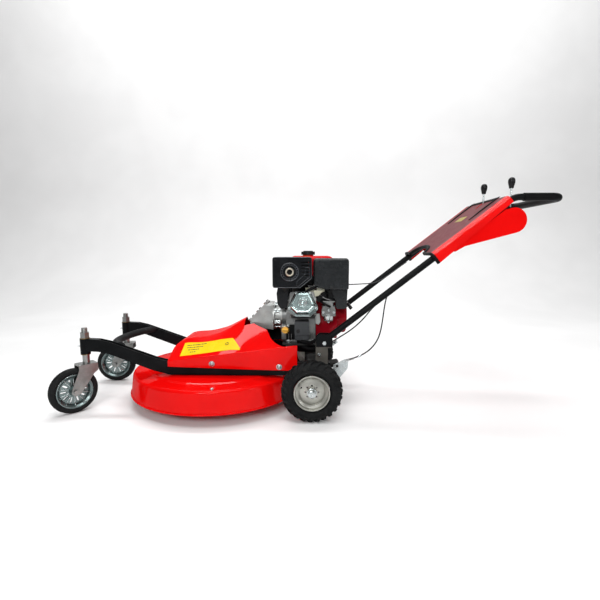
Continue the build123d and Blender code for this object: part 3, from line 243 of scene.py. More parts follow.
RED0, RED1 = (0.66, 0.0018, 0.0016), (0.75, 0.0030, 0.0026)
M = {
    "red": paint("red_gloss_paint", RED0, RED1, rough=(0.16, 0.26), coat=0.19, peel=0.05),
    "deckred": paint("deck_red_paint", RED0, RED1, rough=(0.16, 0.28), coat=0.18, peel=0.05, dust=0.12),
    "darkred": paint("engine_red_paint", (0.20, 0.003, 0.008), (0.27, 0.004, 0.010), rough=(0.18, 0.3), coat=0.12, peel=0.12),
    "tankred": paint("tank_red_paint", (0.50, 0.004, 0.008), (0.58, 0.006, 0.010), rough=(0.12, 0.2), coat=0.12, peel=0.08),
    "black": powder("black_powder_coat", (0.0035, 0.0040, 0.0045), (0.0070, 0.0076, 0.0084), rough=(0.28, 0.42), grain=0.2),
    "hoop": powder("hoop_textured_black", (0.014, 0.0145, 0.015), (0.028, 0.029, 0.030), rough=(0.55, 0.7), grain=0.8, scale=520.0),
    "guard": powder("muffler_guard_black", (0.003, 0.0036, 0.0046), (0.006, 0.0070, 0.0090), rough=(0.14, 0.24), grain=0.05, spec=0.28),
    "darksteel": powder("dark_grey_steel", (0.022, 0.022, 0.022), (0.042, 0.041, 0.039), rough=(0.4, 0.6), grain=0.4, scale=600.0),
    "post": metal("brown_grey_steel", (0.075, 0.070, 0.060), (0.12, 0.112, 0.098), rough=(0.45, 0.62), metallic=0.5, scale=420.0, grain=0.4),
    "casterrim": metal("caster_rim_zinc", (0.13, 0.175, 0.175), (0.22, 0.27, 0.27), rough=(0.24, 0.38), grain=0.08, spangle=160.0, stain=(0.16, 0.18, 0.175)),
    "castrib": metal("caster_rib_zinc", (0.50, 0.55, 0.55), (0.66, 0.70, 0.70), rough=(0.18, 0.3), grain=0.06),
    "carb": metal("carburettor_alloy", (0.22, 0.23, 0.23), (0.34, 0.35, 0.34), rough=(0.30, 0.46), grain=0.35, scale=500.0, stain=(0.14, 0.135, 0.125)),
    "zinc": metal("zinc_plated_steel", (0.40, 0.44, 0.45), (0.58, 0.62, 0.62), rough=(0.20, 0.36), grain=0.10, spangle=160.0, stain=(0.42, 0.43, 0.42)),
    "forkzinc": metal("fork_zinc_steel", (0.20, 0.205, 0.20), (0.34, 0.345, 0.335), rough=(0.28, 0.46), grain=0.16, spangle=110.0, stain=(0.25, 0.235, 0.22)),
    "rimgrey": metal("rim_silver_paint", (0.34, 0.34, 0.31), (0.46, 0.46, 0.42), rough=(0.30, 0.45), grain=0.12, metallic=0.85, stain=(0.36, 0.35, 0.31)),
    "alu": metal("cast_aluminium_raw", (0.27, 0.28, 0.275), (0.44, 0.45, 0.44), rough=(0.34, 0.5), grain=0.45, scale=420.0, stain=(0.30, 0.29, 0.27)),
    "valve": metal("pressed_cover_steel", (0.34, 0.44, 0.44), (0.46, 0.57, 0.56), rough=(0.16, 0.26), grain=0.05, scale=200.0),
    "steel": metal("machined_steel", (0.42, 0.42, 0.42), (0.55, 0.55, 0.54), rough=(0.22, 0.38), grain=0.2, stain=(0.22, 0.18, 0.15)),
    "bronze": metal("sintered_bronze", (0.20, 0.14, 0.07), (0.28, 0.20, 0.10), rough=(0.35, 0.5), grain=0.3, scale=800.0),
    "blackplastic": plastic("black_moulded_plastic", (0.006, 0.0065, 0.007), (0.012, 0.0125, 0.0135), spec=0.3),
    "airplastic": plastic("air_box_plastic", (0.008, 0.0095, 0.0105), (0.015, 0.017, 0.019), rough=(0.22, 0.32), grain=0.012, scale=500.0, spec=0.3),
    "greyplastic": plastic("grey_moulded_plastic", (0.040, 0.043, 0.047), (0.060, 0.064, 0.068)),
    "yellow": plastic("yellow_cap_plastic", (0.80, 0.42, 0.04), (0.90, 0.54, 0.08), rough=(0.28, 0.4)),
    "cream": plastic("cream_lever_plastic", (0.40, 0.39, 0.30), (0.50, 0.49, 0.38)),
    "knob": plastic("knob_gloss_plastic", (0.008, 0.008, 0.009), (0.014, 0.014, 0.015), rough=(0.10, 0.18), grain=0.03),
    "rubber": rubber("black_trim_rubber", (0.0045, 0.0045, 0.0050), (0.0095, 0.0095, 0.0100), rough=(0.45, 0.65)),
    "grip": rubber("grip_sleeve_rubber", (0.0035, 0.0035, 0.0040), (0.0065, 0.0065, 0.0070), rough=(0.36, 0.5), scale=900.0, grain=0.25),
    "tyre": rubber("tyre_rubber", (0.007, 0.0075, 0.0078), (0.014, 0.0145, 0.015), dusty=(0.034, 0.033, 0.030), rough=(0.55, 0.8)),
    "castertyre": rubber("caster_rubber", (0.008, 0.0085, 0.0088), (0.016, 0.0165, 0.017), dusty=(0.040, 0.039, 0.037), rough=(0.5, 0.75)),
    "outlet": metal("heat_stained_outlet", (0.62, 0.56, 0.46), (0.80, 0.74, 0.62), rough=(0.25, 0.4), grain=0.2, stain=(0.34, 0.26, 0.18)),
    "decal": plastic("decal_yellow_film", (0.70, 0.50, 0.005), (0.77, 0.56, 0.009), rough=(0.22, 0.32), grain=0.02, spec=0.05),
    # a darker copy of the cast alloy: painted shade on the crankcase, head, carburettor and ribs that sit in shadow
    "alu_painted_shade": metal("shaded_cast_alloy", (0.14, 0.145, 0.145), (0.245, 0.25, 0.245), rough=(0.32, 0.48), grain=0.5, scale=420.0, stain=(0.10, 0.095, 0.085)),
    # lighter, glossier black for beads along edges; the lighter base colour is a painted highlight
    "edge_painted_highlight": powder("black_edge_painted_highlight", (0.022, 0.025, 0.030), (0.040, 0.044, 0.052), rough=(0.10, 0.18), grain=0.03, spec=0.6),
    "label": plastic("worn_label_film", (0.22, 0.17, 0.035), (0.36, 0.29, 0.06), rough=(0.4, 0.55), grain=0.05),
    "decalink": plastic("decal_dark_print", (0.03, 0.028, 0.01), (0.06, 0.05, 0.02), rough=(0.3, 0.4), grain=0.02),
    "cable": rubber("cable_sheath", (0.030, 0.031, 0.033), (0.050, 0.052, 0.054), rough=(0.35, 0.5), scale=900.0, grain=0.15),
}

def console_paint():
    m = paint("console_red_paint", RED0, RED1, rough=(0.16, 0.26), coat=0.55, peel=0.04)
    t = m.node_tree
    sh = [q for q in t.nodes if q.type == "BSDF_PRINCIPLED"][0]
    # The top face (normal z 0.70-0.76, |y| under about 0.2 m) gets a dark mauve noise colour. This is a painted
    # reflection of the surroundings on the gloss top, and the coat is thinned there.
    geo = t.nodes.new("ShaderNodeNewGeometry")
    sep = t.nodes.new("ShaderNodeSeparateXYZ")
    t.links.new(geo.outputs["Normal"], sep.inputs[0])
    co = [q for q in t.nodes if q.type == "TEX_COORD"][0]
    sp = t.nodes.new("ShaderNodeSeparateXYZ")
    t.links.new(co.outputs["Object"], sp.inputs[0])
    ab = t.nodes.new("ShaderNodeMath")
    ab.operation = "ABSOLUTE"
    t.links.new(sp.outputs[1], ab.inputs[0])
    r1 = t.nodes.new("ShaderNodeMapRange")
    r1.inputs["From Min"].default_value = 0.206
    r1.inputs["From Max"].default_value = 0.199
    t.links.new(ab.outputs[0], r1.inputs[0])
    r2 = t.nodes.new("ShaderNodeMapRange")
    r2.inputs["From Min"].default_value = 0.70
    r2.inputs["From Max"].default_value = 0.76
    t.links.new(sep.outputs[2], r2.inputs[0])
    top_face_mask = t.nodes.new("ShaderNodeMath")
    top_face_mask.operation = "MULTIPLY"
    t.links.new(r1.outputs[0], top_face_mask.inputs[0])
    t.links.new(r2.outputs[0], top_face_mask.inputs[1])
    nz = t.nodes.new("ShaderNodeTexNoise")
    nz.inputs["Scale"].default_value = 38.0
    nz.inputs["Detail"].default_value = 7.0
    t.links.new(co.outputs["Object"], nz.inputs["Vector"])
    # dark mauve ramp: the painted reflection colour of the panel top
    top_reflection_ramp = t.nodes.new("ShaderNodeValToRGB")
    top_reflection_ramp.color_ramp.elements[0].position = 0.35
    top_reflection_ramp.color_ramp.elements[0].color = (0.160, 0.056, 0.062, 1.0)
    top_reflection_ramp.color_ramp.elements[1].position = 0.65
    top_reflection_ramp.color_ramp.elements[1].color = (0.184, 0.072, 0.077, 1.0)
    t.links.new(nz.outputs["Fac"], top_reflection_ramp.inputs[0])
    mx = t.nodes.new("ShaderNodeMix")
    mx.data_type = "RGBA"
    t.links.new(top_face_mask.outputs[0], mx.inputs[0])
    t.links.new(sh.inputs["Base Color"].links[0].from_socket, mx.inputs[6])
    t.links.new(top_reflection_ramp.outputs[0], mx.inputs[7])
    t.links.new(mx.outputs[2], sh.inputs["Base Color"])
    cw = t.nodes.new("ShaderNodeMapRange")
    cw.inputs["To Min"].default_value = 0.55
    cw.inputs["To Max"].default_value = 0.10
    t.links.new(top_face_mask.outputs[0], cw.inputs[0])
    t.links.new(cw.outputs[0], sh.inputs["Coat Weight"])
    return m


M["consolered"] = console_paint()

NODE_MAT = {
    "left_frame_arm": "black", "right_frame_arm": "black", "front_hoop": "hoop", "kingpin_bushes": "bronze", "engine_bed": "darksteel",
    "handle_mounts": "black", "deck_pan": "deckred", "bolts_and_studs": "zinc", "hood": "red", "gear_case": "alu", "gear_case_cover": "alu",
    "crankcase": "alu_painted_shade", "cylinder_head": "alu_painted_shade", "valve_cover": "valve", "muffler_guard": "guard", "muffler": "darksteel", "air_cleaner": "airplastic",
    "carburettor": "alu_painted_shade", "fuel_tank": "tankred", "fan_shroud": "darkred", "recoil_housing": "darkred", "spark_plug_cap": "rubber",
    "oil_alert_box": "greyplastic", "spindle_housing": "darksteel", "blade_belt": "rubber", "transaxle_case": "darksteel", "handlebar": "black",
    "grip_sleeve": "grip", "console_panel": "consolered", "console_tray": "red", "console_trim": "rubber", "lever_bracket": "darksteel",
    "control_cables": "cable", "fuel_cap": "blackplastic", "oil_cap": "yellow", "recoil_handle": "blackplastic", "throttle_lever": "cream",
    "engine_switch": "blackplastic", "crankshaft": "steel", "flywheel": "alu", "jackshaft": "steel", "blade_spindle": "steel",
    "blade_carrier": "darksteel", "front_swing_blade": "steel", "rear_swing_blade": "steel", "left_caster_fork": "forkzinc",
    "right_caster_fork": "forkzinc", "left_caster_tyre": "castertyre", "right_caster_tyre": "castertyre", "left_caster_rim": "casterrim",
    "right_caster_rim": "casterrim", "left_rear_tyre": "tyre", "right_rear_tyre": "tyre", "left_rear_rim": "rimgrey", "right_rear_rim": "rimgrey",
    "blade_control_lever": "zinc", "drive_control_lever": "zinc", "blade_control_knob": "knob", "drive_control_knob": "knob",
    "drive_clutch_plate": "zinc",
}
for name, key in NODE_MAT.items():
    o = frame["nodes"].get(name)
    if o is None:
        continue
    if not o.material_slots:
        o.data.materials.append(M[key])
    for sl in o.material_slots:
        sl.material = M[key]


# ------------------------------------------------------------------ mesh helpers
def obj(name, bm, mat, body, smooth=40.0):
    bmesh.ops.recalc_face_normals(bm, faces=bm.faces)
    me = bpy.data.meshes.new(name)
    bm.to_mesh(me)
    bm.free()
    o = bpy.data.objects.new(name, me)
    bpy.context.scene.collection.objects.link(o)
    me.materials.append(M[mat] if isinstance(mat, str) else mat)
    if smooth:
        me.shade_smooth()
        me.set_sharp_from_angle(angle=math.radians(smooth))
    if body:
        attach(o, body)
    return o


def lathe(bm, prof, origin, axis, seg=96, ref=None):
    """Closed profile of (radius, along) pairs turned about an axis."""
    axis = Vector(axis).normalized()
    ref = Vector(ref) if ref else (Vector((0, 0, 1)) if abs(axis.z) < 0.9 else Vector((1, 0, 0)))
    u = (ref - axis * ref.dot(axis)).normalized()
    v = axis.cross(u)
    rings = []
    for i in range(seg):
        a = 2 * math.pi * i / seg
        d = u * math.cos(a) + v * math.sin(a)
        rings.append([bm.verts.new(Vector(origin) + d * r + axis * h) for r, h in prof])
    n = len(prof)
    for i in range(seg):
        A, B = rings[i], rings[(i + 1) % seg]
        for j in range(n):
            k = (j + 1) % n
            bm.faces.new((A[j], A[k], B[k], B[j]))
    return rings


def box(bm, lo, hi):
    lo, hi = Vector(lo), Vector(hi)
    vs = [bm.verts.new((x, y, z)) for x in (lo.x, hi.x) for y in (lo.y, hi.y) for z in (lo.z, hi.z)]
    for f in ((0, 1, 3, 2), (4, 6, 7, 5), (0, 4, 5, 1), (2, 3, 7, 6), (0, 2, 6, 4), (1, 5, 7, 3)):
        bm.faces.new([vs[i] for i in f])
    return vs


def prism(bm, pts, depth):
    """Closed polygon of 3-D points pushed along a vector."""
    depth = Vector(depth)
    a = [bm.verts.new(p) for p in pts]
    b = [bm.verts.new(Vector(p) + depth) for p in pts]
    n = len(pts)
    bm.faces.new(a)
    bm.faces.new(list(reversed(b)))
    for i in range(n):
        j = (i + 1) % n
        bm.faces.new((a[i], b[i], b[j], a[j]))


def tube(bm, pts, r, seg=12, caps=True):
    pts = [Vector(p) for p in pts]
    rings = []
    prev = None
    for i, p in enumerate(pts):
        t = (pts[min(i + 1, len(pts) - 1)] - pts[max(i - 1, 0)]).normalized()
        if prev is None:
            ref = Vector((0, 0, 1)) if abs(t.z) < 0.9 else Vector((1, 0, 0))
            u = (ref - t * ref.dot(t)).normalized()
        else:
            u = (prev - t * prev.dot(t)).normalized()
        prev = u
        v = t.cross(u)
        rr = r[i] if isinstance(r, (list, tuple)) else r
        rings.append([bm.verts.new(p + (u * math.cos(2 * math.pi * k / seg) + v * math.sin(2 * math.pi * k / seg)) * rr) for k in range(seg)])
    for A, B in zip(rings, rings[1:]):
        for k in range(seg):
            m = (k + 1) % seg
            bm.faces.new((A[k], A[m], B[m], B[k]))
    if caps:
        bm.faces.new(list(reversed(rings[0])))
        bm.faces.new(rings[-1])


def bevel_mod(o, w, seg=2, angle=30):
    m = o.modifiers.new("bevel", "BEVEL")
    m.width = w
    m.segments = seg
    m.limit_method = "ANGLE"
    m.angle_limit = math.radians(angle)
    m.harden_normals = True
    return m


def hexhead(bm, pos, axis, r, h, ref=(0, 0, 1)):
    axis = Vector(axis).normalized()
    ref = Vector(ref)
    u = (ref - axis * ref.dot(axis))
    u = u.normalized() if u.length > 1e-6 else Vector((1, 0, 0))
    v = axis.cross(u)
    pts = [Vector(pos) + (u * math.cos(math.pi / 3 * i) + v * math.sin(math.pi / 3 * i)) * r for i in range(6)]
    prism(bm, pts, axis * h)


# ------------------------------------------------------------------ rear tyres with cleats
def rear_tyre(name, sgn):
    cy = sgn * 0.318
    org = Vector((AX, cy, 0.130))
    W = 0.037
    prof = [(0.0765, -0.024), (0.079, -0.030), (0.086, -0.0345), (0.096, -0.0365), (0.106, -0.0355), (0.114, -0.0315), (0.1185, -0.024), (0.1205, -0.012), (0.1212, 0.0),
            (0.1205, 0.012), (0.1185, 0.024), (0.114, 0.0315), (0.106, 0.0355), (0.096, 0.0365), (0.086, 0.0345), (0.079, 0.030), (0.0765, 0.024)]
    # moulded rings on the side wall
    bm = bmesh.new()
    lathe(bm, prof, org, (0, 1, 0), 144)
    for s in (-1, 1):
        for r0, h in ((0.0835, 0.0345), (0.0995, 0.0372)):
            lathe(bm, [(r0 - 0.0014, s * (h - 0.0025)), (r0 - 0.0008, s * (h + 0.0004)), (r0 + 0.0008, s * (h + 0.0004)), (r0 + 0.0014, s * (h - 0.0025))], org, (0, 1, 0), 144)
    # cleats: each runs from near the middle round the shoulder and down the side wall
    N = 25
    path = [(0.1212, 0.003), (0.1208, 0.010), (0.1192, 0.020), (0.1165, 0.0275), (0.111, 0.0335), (0.1035, 0.0362)]
    height = [0.0082, 0.0085, 0.0085, 0.0076, 0.0050, 0.0016]
    halfw = [0.0044, 0.0050, 0.0058, 0.0064, 0.0068, 0.0062]
    for s in (-1, 1):
        for k in range(N):
            base = 2 * math.pi * (k + (0.5 if s > 0 else 0.0)) / N
            rings = []
            for i, ((r, h), hh, hw) in enumerate(zip(path, height, halfw)):
                # outward normal in the (r, along) plane
                a = path[max(i - 1, 0)]
                b = path[min(i + 1, len(path) - 1)]
                d = Vector((b[0] - a[0], b[1] - a[1])).normalized()
                nr, nh = d.y, -d.x
                skew = -0.20 * (h / 0.0362)
                ring = []
                for w, up in ((-1.0, -0.004), (-0.95, hh * 0.8), (-0.72, hh), (0.72, hh), (0.95, hh * 0.8), (1.0, -0.004)):
                    rr, al = r + nr * up, h + nh * up
                    ang = base + skew + w * hw / r
                    ring.append(bm.verts.new(org + Vector((math.cos(ang) * rr, s * al, math.sin(ang) * rr))))
                rings.append(ring)
            for A, B in zip(rings, rings[1:]):
                for j in range(6):
                    m = (j + 1) % 6
                    bm.faces.new((A[j], A[m], B[m], B[j]))
            bm.faces.new(rings[0])
            bm.faces.new(list(reversed(rings[-1])))
    o = obj(name, bm, "tyre", ("left" if sgn > 0 else "right") + "_rear_wheel", 35)
    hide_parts(("left" if sgn > 0 else "right") + "_rear_tyre")
    return o


rear_tyre("left_rear_cleated_tyre", 1)
rear_tyre("right_rear_cleated_tyre", -1)


# ------------------------------------------------------------------ shared shapes
def rounded(poly, r, n=6):
    """2-D polygon with rounded corners, n+1 points on each."""
    out = []
    m = len(poly)
    for i in range(m):
        p0, p1, p2 = Vector(poly[i - 1]), Vector(poly[i]), Vector(poly[(i + 1) % m])
        a, b = (p0 - p1).normalized(), (p2 - p1).normalized()
        half = math.acos(max(-1, min(1, a.dot(b)))) / 2
        t = min(r / math.tan(half), (p0 - p1).length * 0.45, (p2 - p1).length * 0.45)
        rr = t * math.tan(half)
        cc = p1 + (a + b).normalized() * (rr / math.sin(half))
        s, e = p1 + a * t - cc, p1 + b * t - cc
        ang = s.angle_signed(e)
        for j in range(n + 1):
            q = s.copy()
            q.rotate(Matrix.Rotation(-ang * j / n, 2))
            out.append(tuple(cc + q))
    return out


def loft(bm, layers, cap0=True, cap1=True):
    """Layers are rings of 3-D points with the same count."""
    rings = [[bm.verts.new(p) for p in ring] for ring in layers]
    for A, B in zip(rings, rings[1:]):
        n = len(A)
        for i in range(n):
            j = (i + 1) % n
            bm.faces.new((A[i], A[j], B[j], B[i]))
    if cap0:
        bm.faces.new(list(reversed(rings[0])))
    if cap1:
        bm.faces.new(rings[-1])


def torus(bm, origin, axis, R, r, seg=72, ring=10):
    lathe(bm, [(R + r * math.cos(2 * math.pi * k / ring), r * math.sin(2 * math.pi * k / ring)) for k in range(ring)], origin, axis, seg)


def dome_bolt(bm, pos, axis, r, h):
    """Dome head with a washer and a round socket recess."""
    axis = Vector(axis).normalized()
    pos = Vector(pos)
    lathe(bm, [(r * 0.4, 0.0), (r * 1.28, 0.0), (r * 1.28, h * 0.16), (r * 1.0, h * 0.2), (r * 0.97, h * 0.45), (r * 0.82, h * 0.78), (r * 0.56, h * 0.96), (r * 0.42, h), (r * 0.38, h * 0.5), (0.0004, h * 0.5)], pos, axis, 28)


def washer_hex(bm, pos, axis, r, h):
    axis = Vector(axis).normalized()
    pos = Vector(pos)
    lathe(bm, [(r * 0.5, 0), (r * 1.35, 0), (r * 1.35, h * 0.22), (r * 0.5, h * 0.22)], pos, axis, 28)
    hexhead(bm, pos + axis * h * 0.22, axis, r, h * 0.7)
    lathe(bm, [(r * 0.3, 0), (r * 0.8, 0), (r * 0.74, h * 0.13), (r * 0.3, h * 0.13)], pos + axis * h * 0.9, axis, 24)


def helix(bm, a, b, R, wire, turns, seg=14, ring=7):
    a, b = Vector(a), Vector(b)
    ax = (b - a).normalized()
    ref = Vector((0, 1, 0)) if abs(ax.y) < 0.9 else Vector((1, 0, 0))
    u = (ref - ax * ref.dot(ax)).normalized()
    v = ax.cross(u)
    n = int(turns * seg)
    pts = [a + (b - a) * (i / n) + (u * math.cos(2 * math.pi * i / seg) + v * math.sin(2 * math.pi * i / seg)) * R for i in range(n + 1)]
    tube(bm, pts, wire, ring)


def smooth_path(pts, per=8):
    """Catmull-Rom through the points."""
    pts = [Vector(p) for p in pts]
    out = []
    for i in range(len(pts) - 1):
        p0, p1, p2, p3 = pts[max(i - 1, 0)], pts[i], pts[i + 1], pts[min(i + 2, len(pts) - 1)]
        for j in range(per):
            t = j / per
            out.append(0.5 * ((2 * p1) + (p2 - p0) * t + (2 * p0 - 5 * p1 + 4 * p2 - p3) * t * t + (3 * p1 - p0 - 3 * p2 + p3) * t ** 3))
    out.append(pts[-1])
    return out


def pipe(name, pts, r, mat, body="chassis", seg=14):
    bm = bmesh.new()
    tube(bm, smooth_path([P(*p) for p in pts]), r, seg)
    return obj(name, bm, mat, body, 60)


def plate(name, pts, depth, mat, body="chassis", bev=0.0012):
    bm = bmesh.new()
    prism(bm, pts, depth)
    o = obj(name, bm, mat, body, 30)
    bevel_mod(o, bev, 2)
    return o


# ------------------------------------------------------------------ valve cover
CT = math.radians(25.0)


def CYL(u, v, d):
    return P(40 - u, d * math.cos(CT) - v * math.sin(CT), 401 + d * math.sin(CT) + v * math.cos(CT))


VC = [(-66, -20), (-66, -32), (-33, -64), (33, -64), (66, -32), (66, -20), (33, 52), (-33, 52)]


def vc_ring(d, k, r=10.0):
    return [CYL(x * k, (y + 8) * k - 8, d) for x, y in rounded(VC, r, 5)]


bm = bmesh.new()
loft(bm, [vc_ring(192, 0.985), vc_ring(192.6, 1.0), vc_ring(199, 1.0), vc_ring(200, 0.985), vc_ring(200.2, 0.90), vc_ring(201.5, 0.872), vc_ring(204, 0.86),
          vc_ring(217, 0.815), vc_ring(221, 0.795), vc_ring(223.2, 0.765), vc_ring(224, 0.73), vc_ring(223.8, 0.70), vc_ring(222.6, 0.675), vc_ring(222.4, 0.64)])
vcov = obj("valve_cover_pressing", bm, "valve", "chassis", 50)
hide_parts("valve_cover")
ca = Vector((0, math.cos(CT), math.sin(CT)))
bm = bmesh.new()
for R, r in ((0.0205, 0.0016), (0.0145, 0.0011)):
    torus(bm, CYL(0, -7, 223.0), ca, R, r, 64, 10)
lathe(bm, [(0.0003, 0.0), (0.0075, 0.0), (0.0075, 0.0012), (0.006, 0.0022), (0.0003, 0.0024)], CYL(0, -7, 222.3), ca, 40)
for k in range(3):
    a = 2 * math.pi * k / 3 + 0.5
    c0 = CYL(0, -7, 222.2)
    u = Vector((-1, 0, 0))
    v = ca.cross(u)
    d = u * math.cos(a) + v * math.sin(a)
    e = ca.cross(d)
    prism(bm, [c0 + d * 0.0085 + e * 0.0022, c0 + d * 0.013 + e * 0.0034, c0 + d * 0.013 - e * 0.0034, c0 + d * 0.0085 - e * 0.0022], ca * 0.0018)
obj("valve_cover_emblem_ring", bm, "valve", "chassis", 40)
# dark rings at the cover's flange edge, its step and round the emblem: painted shade and dark reflection along its
# edges
bm = bmesh.new()
lathe(bm, [(0.0157, 0.0), (0.0190, 0.0), (0.0190, 0.0009), (0.0157, 0.0009)], CYL(0, -7, 222.3), ca, 64)
lathe(bm, [(0.0080, 0.0), (0.0133, 0.0), (0.0133, 0.0005), (0.0080, 0.0005)], CYL(0, -7, 222.3), ca, 48)
gk = vc_ring(201.6, 0.884)
tube(bm, gk + [gk[0]], 0.0011, 8, caps=False)
gk = vc_ring(199.4, 1.004)
tube(bm, gk + [gk[0]], 0.0009, 8, caps=False)
obj("valve_cover_painted_shade_lines", bm, "alu_painted_shade", "chassis", 40)
bm = bmesh.new()
for u, v in ((-57, -26), (57, -26), (30, 44), (-30, 44)):
    washer_hex(bm, CYL(u, v, 199.5), ca, 0.0052, 0.0065)
obj("valve_cover_bolts", bm, "zinc", "chassis", 30)

# ------------------------------------------------------------------ muffler guard
# dish rings and ribs in the lighter edge black: a painted highlight round the outlet recess
bm = bmesh.new()
oc = P(97, 204, 621)
torus(bm, oc + Vector((0, 0.0004, 0)), (0, 1, 0), 0.0385, 0.0020, 96, 10)
torus(bm, oc + Vector((0, 0.0002, 0)), (0, 1, 0), 0.0300, 0.0012, 80, 8)
for k in range(20):
    a = 2 * math.pi * k / 20
    d = Vector((math.cos(a), 0, math.sin(a)))
    e = Vector((-math.sin(a), 0, math.cos(a)))
    c0 = oc + Vector((0, -0.0008, 0))
    prism(bm, [c0 + d * 0.0312 + e * 0.0016, c0 + d * 0.0372 + e * 0.0020, c0 + d * 0.0372 - e * 0.0020, c0 + d * 0.0312 - e * 0.0016], Vector((0, 0.0024, 0)))
obj("muffler_guard_dish", bm, "edge_painted_highlight", "chassis", 40)
G = [(2, 594), (2, 684), (170, 684), (170, 553), (52, 553)]
# bead round the guard's edge and lens in the lighter black: a painted highlight along the edges
bm = bmesh.new()
gi = rounded(G, 9, 6)
rim = [P(x, 203.4, z) for x, z in gi]
tube(bm, rim + [rim[0]], 0.0017, 8, caps=False)
lens = rounded([(58, 560), (10, 600), (10, 640), (28, 640), (30, 612), (66, 580), (66, 560)], 4, 4)
rim2 = [P(x, 204.2, z) for x, z in lens]
tube(bm, rim2 + [rim2[0]], 0.0012, 8, caps=False)
obj("muffler_guard_edge_bead", bm, "edge_painted_highlight", "chassis", 60)
bm = bmesh.new()
lathe(bm, [(0.0115, -0.004), (0.0115, 0.0060), (0.0128, 0.0075), (0.0165, 0.0075), (0.0182, 0.0058), (0.0182, -0.002), (0.0182, -0.004)], P(97, 206, 621), (0, 1, 0), 64)
obj("exhaust_outlet_ring", bm, "outlet", "chassis", 40)
bm = bmesh.new()
for x, z in ((16, 672), (156, 672), (156, 566), (62, 566)):
    washer_hex(bm, P(x, 204, z), (0, 1, 0), 0.0042, 0.0035)
obj("muffler_guard_screws", bm, "guard", "chassis", 30)
pipe("exhaust_pipe", [(112, 120, 566), (122, 114, 540), (130, 100, 508), (128, 84, 478), (112, 70, 452)], 0.019, "darksteel", seg=20)
plate("exhaust_heat_shield", [P(104, 128, 560), P(152, 128, 556), (P(160, 128, 520)), P(156, 128, 470), P(140, 128, 448), P(112, 128, 456), P(106, 128, 500)], (0, 0.002, 0), "guard", bev=0.0008)

# ------------------------------------------------------------------ air cleaner fittings
# seam bead round the air cleaner cover in the lighter black: a painted highlight along its top edge
bm = bmesh.new()
seam = [P(x, 150, z) for x, z in rounded([(-7.4, 592), (-7.4, 678.6), (-163.6, 678.6), (-163.6, 541.4), (-84, 541.4), (-60, 556), (-32, 592)], 15, 6)]
tube(bm, seam + [seam[0]], 0.0013, 8, caps=False)
obj("air_cleaner_seam", bm, "edge_painted_highlight", "chassis", 60)
bm = bmesh.new()
for zz in (655, 640, 625, 610):
    pts = [P(-150, 176.2, zz), P(-24, 176.2, zz)]
    tube(bm, pts, 0.0008, 6)
lathe(bm, [(0.0004, 0.0), (0.011, 0.0), (0.0115, 0.002), (0.0105, 0.0045), (0.0004, 0.0055)], P(-86, 175.5, 560), (0, 1, 0), 32)
obj("air_cleaner_front_details", bm, "airplastic", "chassis", 40)

# ------------------------------------------------------------------ carburettor and linkages
bm = bmesh.new()
lathe(bm, [(0.0004, -0.002), (0.012, -0.002), (0.0195, 0.002), (0.0212, 0.006), (0.0214, 0.026), (0.0232, 0.0268), (0.0232, 0.0305), (0.0004, 0.0305)], P(-76, 128, 396), (0, 0, 1), 48)
lathe(bm, [(0.0004, -0.011), (0.0042, -0.011), (0.0048, -0.009), (0.0048, -0.002), (0.0004, -0.002)], P(-76, 128, 396), (0, 0, 1), 24)
obj("carburettor_bowl", bm, "castrib", "chassis", 40)
bm = bmesh.new()
fl2 = rounded([(-108, 104), (-44, 104), (-44, 152), (-108, 152)], 9, 5)
loft(bm, [[P(x, y, z) for x, y in fl2] for z in (461.5, 464.5)])
ring2 = rounded([(-98, 110), (-54, 110), (-54, 149), (-98, 149)], 7, 5)
loft(bm, [[P(x, y, z) for x, y in ring2] for z in (464.4, 483.0)])
fl3 = rounded([(-106, 106), (-46, 106), (-46, 152), (-106, 152)], 8, 5)
loft(bm, [[P(x, y, z) for x, y in fl3] for z in (483.0, 488.0)])
o = obj("carburettor_upper_body", bm, "carb", "chassis", 35)
bevel_mod(o, 0.0010, 2)
bm = bmesh.new()
for x in (-100, -52):
    washer_hex(bm, P(x, 150.5, 437), (0, 1, 0), 0.0044, 0.006)
lathe(bm, [(0.0004, 0), (0.0052, 0), (0.0056, 0.003), (0.0056, 0.009), (0.0042, 0.0105), (0.0004, 0.0108)], P(-76, 150, 446), (0, 1, 0), 24)
for zz in (402, 409, 416):
    torus(bm, P(-76, 128, zz), (0, 0, 1), 0.0214, 0.0006, 40, 6)
obj("carburettor_screws", bm, "zinc", "chassis", 30)
pipe("throttle_link_rod", [(-22, 158, 533), (-34, 158, 520), (-60, 154, 500), (-88, 152, 492)], 0.0013, "steel", seg=8)
pipe("governor_rod", [(16, 150, 560), (4, 152, 541), (-22, 152, 536), (-48, 152, 541)], 0.0013, "steel", seg=8)
bm = bmesh.new()
helix(bm, P(-40, 157, 548), P(6, 157, 556), 0.0034, 0.0006, 14)
tube(bm, [P(6, 157, 556), P(20, 157, 560)], 0.0007, 6)
tube(bm, [P(-40, 157, 548), P(-50, 157, 544)], 0.0007, 6)
obj("governor_spring", bm, "steel", "chassis", 60)
plate("governor_arm", [P(-12, 152, 486), P(-3, 152, 486), P(-10, 152, 535), P(-16, 152, 552), P(-24, 152, 550), P(-20, 152, 530)], (0, 0.0022, 0), "darksteel")
plate("control_bracket", [P(30, 146, 548), P(-54, 146, 548), P(-58, 146, 532), P(-40, 146, 524), P(10, 146, 528), P(28, 146, 536)], (0, 0.0022, 0), "cream")
pipe("fuel_hose", [(-4, 44, 560), (-10, 96, 530), (-26, 140, 500), (-52, 154, 478), (-84, 156, 462)], 0.0048, "rubber")
pipe("breather_hose", [(36, 150, 505), (20, 160, 534), (-6, 160, 548), (-30, 152, 560)], 0.0062, "rubber")
plate("choke_bracket", [P(-16, 130, 428), P(-36, 130, 428), P(-40, 130, 392), P(-32, 130, 376), P(-18, 130, 382)], (0, 0.0025, 0), "alu")

